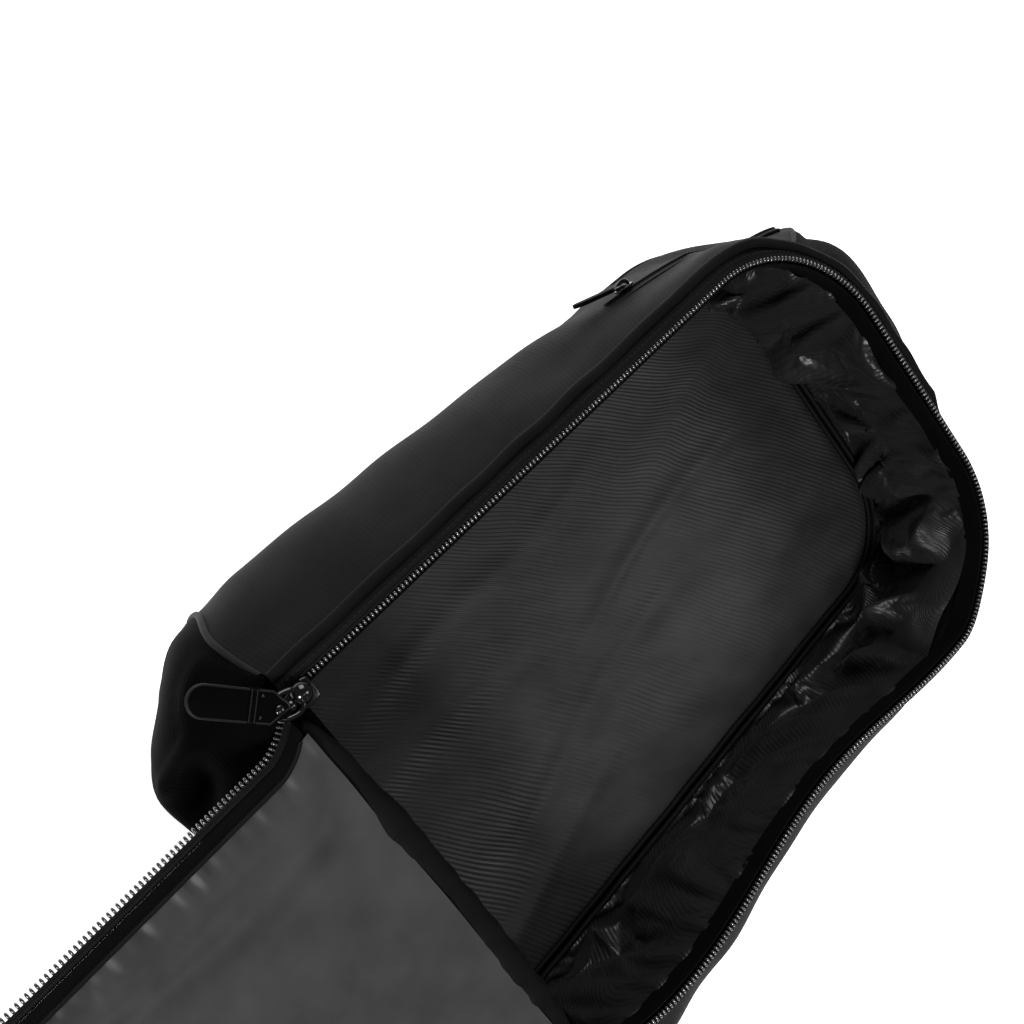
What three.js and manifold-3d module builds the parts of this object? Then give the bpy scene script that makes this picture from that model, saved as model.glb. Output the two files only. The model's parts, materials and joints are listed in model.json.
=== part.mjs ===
// A short ski bag lying on its back with its zipped lid folded open: millimetres, +Z up.
// The origin is the middle of the underside. The lid hinges at the -Y end and opens towards -Y.
// Lid pieces are modelled closed, in their own hinge frame, and their groups are then turned open.
import * as THREE from "three";
import { mergeVertices } from "three/addons/utils/BufferGeometryUtils.js";
import Module from "manifold-3d";

const wasm = await Module();
wasm.setup();
const { lerp, smoothstep, degToRad } = THREE.MathUtils;

// ---- Driving dimensions ----
const GAP = 0.3; // left between pieces that touch
const WALL = 3; // padded side fabric
const LINING = 1; // lining cloth with its seam allowance
const WALL_TOP = 112; // top edge of the side and far-end walls
const NEAR_WALL_TOP = 106; // the near-end wall stops below the hinge
const SHELL_BOTTOM = 1.8; // the walls stand on the back panel
const SEAM = 0.02; // share of an outline step left open at each wall seam

// The zipped opening is a U: arcs about (+-CORNER_X, CORNER_Y), and a line's radius names its offset.
const CORNER_X = 48;
const CORNER_Y = 128;
const ZIP_Z = 114; // middle of both zip chains
const COIL = { half: 2.2, height: 3.4 };
const BODY_COIL_R = 72;
const LID_COIL_R = 65;
const TAPE_WIDTH = 3.2;
const TAPE_HEIGHT = 1;
const BORDER_OUTER_R = 83;
const BODY_CHAIN_START = -162;
const BODY_TRIM_START = -186;
const PIPING_R = 1.8;

// Lid, measured from its hinge axis.
const HINGE_Y = -188;
const LID_START = 8;
const LID_BORDER_START = 12;
const LID_CHAIN_START = 22; // clear of the sliders as the lid swings shut
const LID_FOLD = 180;
const LID_PANEL_R = 53;
const LID_TOP = 5;
const LID_OPEN_DEG = 178;
const LID_BEND_DEG = 36;

// Level sections of the body, from the underside to the rim. taper widens the near end, and sink is
// how far the unfilled far-right corner falls inwards.
const SECTIONS = [
  { z: 0, half: 136, near: -214, far: 232, nearR: 42, farR: 78, taper: 0.05, sink: 0 },
  { z: 25, half: 144, near: -232, far: 246, nearR: 55, farR: 92, taper: 0.075, sink: 2 },
  { z: 55, half: 148, near: -238, far: 252, nearR: 60, farR: 100, taper: 0.09, sink: 16 },
  { z: 85, half: 143, near: -222, far: 240, nearR: 34, farR: 94, taper: 0.06, sink: 24 },
  { z: 104, half: 135.5, near: -200, far: 220, nearR: 12, farR: 86, taper: 0.015, sink: 13 },
  { z: 112, half: 131, near: -192, far: 211, nearR: 5, farR: 83, taper: 0, sink: 0 },
];
const SINK_CENTRE = { x: 30, y: 110 };
const TAPER_REACH = 200;
const FLOOR_INSET = 22; // the floor pad is smaller than the base it lies on

// Outline steps, in order round the body from the near-left corner.
const SIDE_STEPS = 6;
const ARC_STEPS = 6;
const END_STEPS = 4;
const LEFT_SIDE = 0;
const FAR_LEFT_SEAM = SIDE_STEPS + ARC_STEPS / 2;
const FAR_RIGHT_SEAM = FAR_LEFT_SEAM + ARC_STEPS + END_STEPS;
const NEAR_RIGHT_SEAM = FAR_RIGHT_SEAM + ARC_STEPS / 2 + SIDE_STEPS;
const NEAR_LEFT_SEAM = NEAR_RIGHT_SEAM + ARC_STEPS + END_STEPS + ARC_STEPS;

const SLIDER_X = 116.5;
const SLIDER_Y = -182;
const SLIDER = { half: 7.5, length: 17, plate: 2, inner: 3, keel: 0.9 };
const BRIDGE = { half: 2.5, length: 13, post: 2, rise: 3, bar: 2 };
const BAIL = { half: 6.5, reach: 13, bar: 2, lift: 1.5 };
const RIVET = { radius: 1.5, hole: 1.75, head: 2.4 };
const TAB = { half: 8.5, length: 46, eye: 4.6, thick: 2, swingDeg: 41.3 };

const POCKET = { z: 72, from: 4.9, to: 8.7, tape: 12, chain: 3.6, slider: 104, depth: 47, scale: 0.62 };
const POCKET_TAB = { half: 3.6, length: 26, eye: 2, splayDeg: 12 };
const HANDLE = { y: -10, z: 28, half: 88, width: 25, thick: 2.5, rise: 14, patch: 22 };

// ---- Materials ----
function finish(colour, roughness, metalness = 0) {
  return new THREE.MeshStandardMaterial({ color: colour, roughness, metalness });
}
const shellCloth = () => finish(0x1c1c1d, 0.9);
const liningCloth = () => finish(0x232324, 0.55);
const floorCloth = () => finish(0x2a2a2b, 0.6);
const foam = () => finish(0x3a3a3c, 0.95);
const trimCloth = () => finish(0x161617, 0.8);
const webbing = () => finish(0x141415, 0.85);
const zipTape = () => finish(0x101011, 0.85);
const zipCoil = () => finish(0x2e2e30, 0.3);
const blackMetal = () => finish(0x0d0d0e, 0.22, 0.9);
const pullRubber = () => finish(0x121213, 0.6);

// ---- Shape helpers ----
function piece(parent, name, geometry, material) {
  const mesh = new THREE.Mesh(geometry, material);
  mesh.name = name;
  parent.add(mesh);
  return mesh;
}

function solid(geometry) {
  const bare = geometry.clone();
  bare.deleteAttribute("normal");
  bare.deleteAttribute("uv");
  const merged = mergeVertices(bare, 1e-4);
  const vertProperties = new Float32Array(merged.attributes.position.array);
  const triVerts = new Uint32Array(merged.index.array);
  return new wasm.Manifold(new wasm.Mesh({ numProp: 3, vertProperties, triVerts }));
}

function meshOf(manifold) {
  const mesh = manifold.getMesh();
  const geometry = new THREE.BufferGeometry();
  geometry.setAttribute("position", new THREE.BufferAttribute(mesh.vertProperties, 3));
  geometry.setIndex(new THREE.BufferAttribute(mesh.triVerts, 1));
  geometry.computeVertexNormals();
  return geometry;
}

const joined = (...parts) => meshOf(parts.map(solid).reduce((all, next) => all.add(next)));
const cut = (whole, hole) => meshOf(solid(whole).subtract(solid(hole)));

// A box from its low and high corners.
function block([x0, y0, z0], [x1, y1, z1]) {
  const box = new THREE.BoxGeometry(x1 - x0, y1 - y0, z1 - z0);
  return box.translate((x0 + x1) / 2, (y0 + y1) / 2, (z0 + z1) / 2);
}

function plate(shape, low, high, curveSegments = 8) {
  const geometry = new THREE.ExtrudeGeometry(shape, {
    depth: high - low,
    bevelEnabled: false,
    curveSegments,
  });
  return geometry.translate(0, 0, low);
}

// A cord of the given radius along a smooth path.
function cord(points, radius, steps) {
  const circle = new THREE.Shape();
  circle.absarc(0, 0, radius, 0, Math.PI * 2, false);
  return new THREE.ExtrudeGeometry(circle, {
    steps,
    curveSegments: 4,
    extrudePath: new THREE.CatmullRomCurve3(points, false, "centripetal"),
  });
}

// A closed thick sheet. point(i, j, face) gives its outer surface (face 0) and its inner one (face 1).
function thickSheet(columns, rows, point) {
  const vertices = [];
  for (const face of [0, 1])
    for (let j = 0; j <= rows; j++)
      for (let i = 0; i <= columns; i++) vertices.push(...point(i, j, face));
  const at = (i, j, face) => (face * (rows + 1) + j) * (columns + 1) + i;
  const triangles = [];
  const quad = (a, b, c, d) => triangles.push(a, b, c, a, c, d);
  for (let j = 0; j < rows; j++)
    for (let i = 0; i < columns; i++) {
      quad(at(i, j, 0), at(i, j + 1, 0), at(i + 1, j + 1, 0), at(i + 1, j, 0));
      quad(at(i, j, 1), at(i + 1, j, 1), at(i + 1, j + 1, 1), at(i, j + 1, 1));
    }
  for (let i = 0; i < columns; i++) {
    quad(at(i, 0, 0), at(i + 1, 0, 0), at(i + 1, 0, 1), at(i, 0, 1));
    quad(at(i, rows, 0), at(i, rows, 1), at(i + 1, rows, 1), at(i + 1, rows, 0));
  }
  for (let j = 0; j < rows; j++) {
    quad(at(0, j, 0), at(0, j, 1), at(0, j + 1, 1), at(0, j + 1, 0));
    quad(at(columns, j, 0), at(columns, j + 1, 0), at(columns, j + 1, 1), at(columns, j, 1));
  }
  const geometry = new THREE.BufferGeometry();
  geometry.setAttribute("position", new THREE.Float32BufferAttribute(vertices, 3));
  geometry.setIndex(triangles);
  geometry.computeVertexNormals();
  return geometry;
}

// ---- Body outline ----
function sectionAt(z) {
  const above = Math.max(1, SECTIONS.findIndex((section) => section.z >= z));
  const low = SECTIONS[above - 1];
  const high = SECTIONS[above];
  const share = (z - low.z) / (high.z - low.z);
  const blend = (key) => lerp(low[key], high[key], share);
  return Object.fromEntries(Object.keys(low).map((key) => [key, blend(key)]));
}

// Points round the body at one height, clockwise from the near-left corner, inset from the outside.
function outline(z, inset = 0) {
  const s = sectionAt(z);
  const half = s.half - inset;
  const near = s.near + inset;
  const far = s.far - inset;
  const nearR = Math.max(1, s.nearR - inset);
  const farR = s.farR - inset;
  const points = [];
  const line = (x0, y0, x1, y1, steps) => {
    for (let i = 0; i < steps; i++)
      points.push([lerp(x0, x1, i / steps), lerp(y0, y1, i / steps)]);
  };
  const arc = (cx, cy, radius, startDeg) => {
    for (let i = 0; i < ARC_STEPS; i++) {
      const angle = degToRad(startDeg - (90 * i) / ARC_STEPS);
      points.push([cx + radius * Math.cos(angle), cy + radius * Math.sin(angle)]);
    }
  };
  line(-half, near + nearR, -half, far - farR, SIDE_STEPS);
  arc(farR - half, far - farR, farR, 180);
  line(farR - half, far, half - farR, far, END_STEPS);
  arc(half - farR, far - farR, farR, 90);
  line(half, far - farR, half, near + nearR, SIDE_STEPS);
  arc(half - nearR, near + nearR, nearR, 0);
  line(half - nearR, near, nearR - half, near, END_STEPS);
  arc(nearR - half, near + nearR, nearR, -90);
  return points.map(([x, y]) => {
    const point = new THREE.Vector2(x * (1 - (s.taper * y) / TAPER_REACH), y);
    const inwards = new THREE.Vector2(SINK_CENTRE.x - point.x, SINK_CENTRE.y - y).normalize();
    const corner = smoothstep(point.x, -30, 40) * smoothstep(y, 86, 150);
    return point.addScaledVector(inwards, s.sink * corner);
  });
}

function outlineAt(z, inset, place) {
  const points = outline(z, inset);
  const step = Math.floor(place);
  const from = points[step % points.length];
  return from.clone().lerp(points[(step + 1) % points.length], place - step);
}

// A shape from an outline, with an optional hole, which has to run the other way round.
function shapeOf(points, hole) {
  const shape = new THREE.Shape(points);
  if (hole) shape.holes.push(new THREE.Path([...hole].reverse()));
  return shape;
}

// A strip of wall between two outline places and through some heights, from one inset to another.
function wallStrip(from, to, outer, inner, heights) {
  const stops = [from];
  for (let place = Math.floor(from) + 1; place < to; place++) stops.push(place);
  stops.push(to);
  return thickSheet(stops.length - 1, heights.length - 1, (i, j, face) => {
    const p = outlineAt(heights[j], face ? inner : outer, stops[i]);
    return [p.x, p.y, heights[j]];
  });
}

// A whole wall panel between two seams.
function wallPanel(from, to, outer, inner, top) {
  const levels = SECTIONS.map((section) => section.z).filter((z) => z > SHELL_BOTTOM && z < top);
  return wallStrip(from + SEAM, to - SEAM, outer, inner, [SHELL_BOTTOM, ...levels, top]);
}

// A cord down a wall seam, lying just outside the wall.
function seamCord(place, top) {
  const points = [top, 104, 85, 55, 25, 8].map((z) => {
    const p = outlineAt(z, -PIPING_R - 5 * GAP, place);
    return new THREE.Vector3(p.x, p.y, z);
  });
  return cord(points, PIPING_R, 14);
}

// ---- The U of the opening ----
function uPoints(radius, near, cornerY, steps = 8) {
  const points = [new THREE.Vector2(-CORNER_X - radius, near)];
  for (let i = 0; i <= steps; i++) {
    const angle = Math.PI - (Math.PI / 2) * (i / steps);
    points.push(new THREE.Vector2(radius * Math.cos(angle) - CORNER_X, cornerY + radius * Math.sin(angle)));
  }
  return points.concat(points.map((p) => new THREE.Vector2(-p.x, p.y)).reverse());
}

function uBand(inner, outer, near, cornerY, low, high) {
  const band = uPoints(outer, near, cornerY).concat(uPoints(inner, near, cornerY).reverse());
  return plate(new THREE.Shape(band), low, high);
}

function uCord(radius, near, cornerY, height) {
  const points = uPoints(radius, near, cornerY).map((p) => new THREE.Vector3(p.x, p.y, height));
  return cord(points, PIPING_R, 44);
}

// ---- Body ----
function buildFloor(bag) {
  const floor = outline(0, FLOOR_INSET);
  piece(bag, "back_panel", plate(shapeOf(outline(0)), 0, 1.5), shellCloth());
  piece(bag, "back_foam", plate(shapeOf(floor), 1.8, 9.5), foam());
  piece(bag, "floor_lining", plate(shapeOf(floor), 9.8, 10.8), floorCloth());
  const binding = shapeOf(floor, outline(0, FLOOR_INSET + 4));
  piece(bag, "floor_binding", plate(binding, 11.1, 14), trimCloth());
  const ringTop = 4.2;
  const ring = shapeOf(outline(ringTop, -2 * PIPING_R), outline(ringTop, -GAP));
  piece(bag, "back_piping", plate(ring, 0.6, ringTop), trimCloth());
}

function buildWalls(bag) {
  const walls = [
    ["left", LEFT_SIDE, FAR_LEFT_SEAM, WALL_TOP],
    ["far_end", FAR_LEFT_SEAM, FAR_RIGHT_SEAM, WALL_TOP],
    ["right", FAR_RIGHT_SEAM, NEAR_RIGHT_SEAM, WALL_TOP],
    ["near_end", NEAR_RIGHT_SEAM, NEAR_LEFT_SEAM, NEAR_WALL_TOP],
  ];
  const liningFace = WALL + 1.3;
  for (const [name, from, to, top] of walls) {
    piece(bag, name + "_wall", wallPanel(from, to, 0, WALL, top), shellCloth());
    const lining = wallPanel(from, to, liningFace, liningFace + LINING, top);
    piece(bag, name + "_lining", lining, liningCloth());
  }
  piece(bag, "near_left_piping", seamCord(NEAR_LEFT_SEAM, 110), trimCloth());
  piece(bag, "near_right_piping", seamCord(NEAR_RIGHT_SEAM, 110), trimCloth());
  piece(bag, "far_left_piping", seamCord(FAR_LEFT_SEAM, 110), trimCloth());
  piece(bag, "far_right_piping", seamCord(FAR_RIGHT_SEAM, 110), trimCloth());
}

function buildRim(bag) {
  const tapeInner = BODY_COIL_R + COIL.half + GAP;
  const tapeOuter = tapeInner + TAPE_WIDTH;
  const chainLow = ZIP_Z - COIL.height / 2;
  const coil = uBand(
    BODY_COIL_R - COIL.half, BODY_COIL_R + COIL.half, BODY_CHAIN_START, CORNER_Y, chainLow,
    chainLow + COIL.height,
  );
  piece(bag, "body_zip_coil", coil, zipCoil());
  const tapeLow = ZIP_Z - TAPE_HEIGHT / 2;
  const tape = uBand(tapeInner, tapeOuter, BODY_TRIM_START, CORNER_Y, tapeLow, tapeLow + TAPE_HEIGHT);
  piece(bag, "body_zip_tape", tape, zipTape());
  const borderLow = WALL_TOP + GAP;
  const borderTop = borderLow + 1.6;
  const border = uBand(tapeOuter + GAP, BORDER_OUTER_R, BODY_TRIM_START, CORNER_Y, borderLow, borderTop);
  piece(bag, "rim_border", border, shellCloth());
  const rimCord = uCord(BORDER_OUTER_R - PIPING_R, BODY_TRIM_START, CORNER_Y, borderTop + GAP + PIPING_R);
  piece(bag, "rim_piping", rimCord, trimCloth());
}

function buildHingeTrim(bag) {
  const reach = CORNER_X + LID_PANEL_R;
  const binding = new THREE.CylinderGeometry(2.5, 2.5, 2 * reach, 10).rotateZ(Math.PI / 2);
  piece(bag, "hinge_binding", binding.translate(0, HINGE_Y, ZIP_Z), trimCloth());
  const gusset = new THREE.BoxGeometry(2 * reach, 1.2, 6).rotateX(degToRad(-25));
  const gussetY = HINGE_Y - 1.6;
  piece(bag, "hinge_gusset", gusset.translate(0, gussetY, ZIP_Z - 6), shellCloth());
}

// ---- Lid ----
// Each band has two straight near lengths and one far U, on either side of the fold.
function lidBand(lid, name, inner, outer, start, low, high, material) {
  const cornerY = CORNER_Y - HINGE_Y;
  for (const [side, sign] of [["left", -1], ["right", 1]]) {
    const edges = [sign * (CORNER_X + inner), sign * (CORNER_X + outer)].sort((a, b) => a - b);
    const strip = block([edges[0], start, low], [edges[1], LID_FOLD - GAP, high]);
    piece(lid.near, `${name}_${side}`, strip, material());
  }
  piece(lid.far, name + "_far", uBand(inner, outer, LID_FOLD + GAP, cornerY, low, high), material());
}

function lidLayer(lid, name, radius, low, high, material) {
  const reach = CORNER_X + radius;
  const near = block([-reach, LID_START, low], [reach, LID_FOLD - GAP, high]);
  piece(lid.near, name + "_near", near, material());
  const far = new THREE.Shape(uPoints(radius, LID_FOLD + GAP, CORNER_Y - HINGE_Y));
  piece(lid.far, name + "_far", plate(far, low, high), material());
}

function buildLid(bag) {
  const near = new THREE.Group();
  near.position.set(0, HINGE_Y, ZIP_Z);
  near.rotation.x = degToRad(LID_OPEN_DEG);
  const bend = new THREE.Group();
  bend.position.set(0, LID_FOLD, LID_TOP);
  bend.rotation.x = degToRad(LID_BEND_DEG);
  const far = new THREE.Group();
  far.position.set(0, -LID_FOLD, -LID_TOP);
  bend.add(far);
  near.add(bend);
  bag.add(near);
  const lid = { near, far };

  lidLayer(lid, "lid_outer", LID_PANEL_R, LID_TOP - 1.2, LID_TOP, shellCloth);
  lidLayer(lid, "lid_foam", LID_PANEL_R - 1, -0.5, LID_TOP - 1.5, foam);
  lidLayer(lid, "lid_lining", LID_PANEL_R, -1.8, -0.8, liningCloth);
  const tapeOuter = LID_COIL_R - COIL.half - GAP;
  const tapeInner = tapeOuter - TAPE_WIDTH;
  const pipingLow = 0.7 + GAP;
  const high = COIL.height / 2;
  const chainIn = LID_COIL_R - COIL.half;
  lidBand(lid, "lid_zip_coil", chainIn, LID_COIL_R + COIL.half, LID_CHAIN_START, -high, high, zipCoil);
  lidBand(lid, "lid_zip_tape", tapeInner, tapeOuter, LID_CHAIN_START, -0.5, 0.5, zipTape);
  lidBand(lid, "lid_border", LID_PANEL_R + GAP, tapeInner - GAP, LID_BORDER_START, -0.7, 0.7, shellCloth);
  lidBand(
    lid, "lid_piping", LID_PANEL_R + 0.4, LID_PANEL_R + 0.4 + 2 * PIPING_R, LID_BORDER_START, pipingLow,
    pipingLow + 2 * PIPING_R, trimCloth,
  );
}

// ---- Sliders: the track runs along Y, and up is Z ----
function sliderBody(keel) {
  const { half, length, plate: thick, inner } = SLIDER;
  const end = length / 2;
  const top = inner + thick;
  const bridgeEnd = BRIDGE.length / 2;
  const bridgeLow = top + BRIDGE.rise;
  const post = (y) => block([-BRIDGE.half, y, top - 0.5], [BRIDGE.half, y + BRIDGE.post, bridgeLow + 0.5]);
  const parts = [
    block([-half, -end, inner], [half, end, top]),
    block([-BRIDGE.half, -bridgeEnd, bridgeLow], [BRIDGE.half, bridgeEnd, bridgeLow + BRIDGE.bar]),
    post(-bridgeEnd),
    post(bridgeEnd - BRIDGE.post),
  ];
  if (keel) {
    parts.push(block([-half, -end, -top], [half, end, -inner]));
    parts.push(block([-SLIDER.keel, -end, -inner - 0.5], [SLIDER.keel, end, inner + 0.5]));
  } else {
    for (const x of [-half, half - 1.6]) parts.push(block([x, -end, 0.3], [x + 1.6, end, inner + 0.5]));
  }
  return joined(...parts);
}

// The bail's frame has its cross bar on the origin and reaches towards -Y.
function bailRing(reach) {
  const { half, bar } = BAIL;
  const r = bar / 2;
  const frame = block([-half, -reach, -r], [half, r, r]);
  return cut(frame, block([-half + bar, -reach + bar, -bar], [half - bar, -r, bar]));
}

function post(radius, low, high, sides = 16) {
  const cylinder = new THREE.CylinderGeometry(radius, radius, high - low, sides).rotateX(Math.PI / 2);
  return cylinder.translate(0, 0, (low + high) / 2);
}

// A pull tab hanging from its eye at the origin: a narrow neck, straight sides and a round end.
function tabShape(half, length, eye) {
  const shape = new THREE.Shape();
  shape.absarc(0, 0, eye, 0, Math.PI, false);
  shape.lineTo(-half, -half);
  shape.absarc(0, half + eye - length, half, Math.PI, Math.PI * 2, false);
  shape.lineTo(half, -half);
  return shape;
}

function buildZipPull(bag, side, sign) {
  const slider = new THREE.Group();
  slider.position.set(sign * SLIDER_X, SLIDER_Y, ZIP_Z);
  piece(slider, "slider_" + side, sliderBody(true), blackMetal());
  const bail = new THREE.Group();
  bail.position.z = SLIDER.inner + SLIDER.plate + BAIL.lift;
  const rivetY = BAIL.bar / 2 - BAIL.reach;
  const rest = BAIL.bar / 2;
  const headLow = rest + 2 * GAP + TAB.thick;
  const shank = post(RIVET.radius, rest - 0.5, headLow + 0.2).translate(0, rivetY, 0);
  const head = post(RIVET.head, headLow, headLow + 0.8).translate(0, rivetY, 0);
  piece(bail, "bail_" + side, joined(bailRing(BAIL.reach), shank, head), blackMetal());
  const tab = new THREE.Group();
  tab.position.set(0, rivetY, rest + GAP);
  tab.rotation.z = sign * degToRad(TAB.swingDeg);
  const strap = plate(tabShape(TAB.half, TAB.length, TAB.eye), 0, TAB.thick);
  piece(tab, "pull_tab_" + side, cut(strap, post(RIVET.hole, -1, TAB.thick + 1)), pullRubber());
  bail.add(tab);
  slider.add(bail);
  bag.add(slider);
}

// ---- Pieces on the side walls ----
// A group on the outside of a wall: Y runs along the wall, Z points out of it.
function wallGroup(sign, y, z) {
  const at = (yy, zz) => {
    const s = sectionAt(zz);
    return new THREE.Vector3(sign * s.half * (1 - (s.taper * yy) / TAPER_REACH), yy, zz);
  };
  const along = at(y + 10, z).sub(at(y - 10, z)).normalize();
  const up = at(y, z + 8).sub(at(y, z - 8)).normalize();
  const out = along.clone().cross(up).multiplyScalar(sign).normalize();
  const group = new THREE.Group();
  group.matrixAutoUpdate = false;
  group.matrix.makeBasis(along.clone().cross(out), along, out).setPosition(at(y, z));
  return group;
}

function buildSidePocket(bag) {
  const { z, from, to, tape, chain, depth, scale } = POCKET;
  const strip = (half, outer, inner) => wallStrip(from, to, outer, inner, [z - half, z + half]);
  piece(bag, "pocket_zip_tape", strip(tape / 2, -1.5, -0.7), zipTape());
  piece(bag, "pocket_zip_coil", strip(chain / 2, -3.4, -1.8), zipCoil());
  const pouchHeights = [z - depth, SECTIONS[2].z, z + 4];
  const pouch = wallStrip(from, to, WALL + 0.4, WALL + 1, pouchHeights);
  piece(bag, "side_pocket_bag", pouch, liningCloth());

  const group = wallGroup(-1, POCKET.slider, z);
  const slider = new THREE.Group();
  slider.position.set(0, 0, 1.8);
  piece(slider, "pocket_slider", sliderBody(false).scale(scale, scale, scale), blackMetal());
  const pull = new THREE.Group();
  pull.position.z = (SLIDER.inner + SLIDER.plate + BAIL.lift) * scale;
  pull.rotation.x = -degToRad(POCKET_TAB.splayDeg);
  const ring = bailRing(BAIL.reach).scale(scale, scale, scale);
  const strap = plate(tabShape(POCKET_TAB.half, POCKET_TAB.length, POCKET_TAB.eye), -0.6, 0.6, 5);
  const reach = (BAIL.bar / 2 - BAIL.reach) * scale;
  piece(pull, "pocket_pull_tab", joined(ring, strap.translate(0, reach, 0)), pullRubber());
  slider.add(pull);
  group.add(slider);
  bag.add(group);
}

function buildHandle(bag) {
  const group = wallGroup(1, HANDLE.y, HANDLE.z);
  const { half, width, thick, rise, patch } = HANDLE;
  const low = 0.8;
  const high = 2.2;
  for (const [name, y] of [["near", -half], ["far", half - patch]]) {
    const square = block([-width / 2, y, low], [width / 2, y + patch, high]);
    piece(group, "handle_patch_" + name, square, webbing());
  }
  const bow = (share) => high + GAP + rise * Math.sin(Math.PI * share) ** 0.75;
  const strap = thickSheet(1, 14, (i, j, face) => {
    const inner = half - patch;
    const stops = [-half, ...Array.from({ length: 13 }, (_, k) => -inner + (k * inner) / 6), half];
    const share = Math.min(Math.max((j - 1) / 12, 0), 1);
    return [i ? -width / 2 : width / 2, stops[j], bow(share) + (face ? 0 : thick)];
  });
  piece(group, "carry_handle", strap, webbing());
  bag.add(group);
}

// ---- Assembly ----
const bag = new THREE.Group();
buildFloor(bag);
buildWalls(bag);
buildRim(bag);
buildHingeTrim(bag);
buildLid(bag);
buildZipPull(bag, "left", -1);
buildZipPull(bag, "right", 1);
buildSidePocket(bag);
buildHandle(bag);

export default bag;
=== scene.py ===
"""A short soft ski bag, lying on its back with its zipped lid folded open.

The frame is the CAD's: +Z up, the origin in the middle of the underside, the lid's hinge at the -Y
end. Shapes are worked out in millimetres and turned into metres when a mesh is made.
"""

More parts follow.
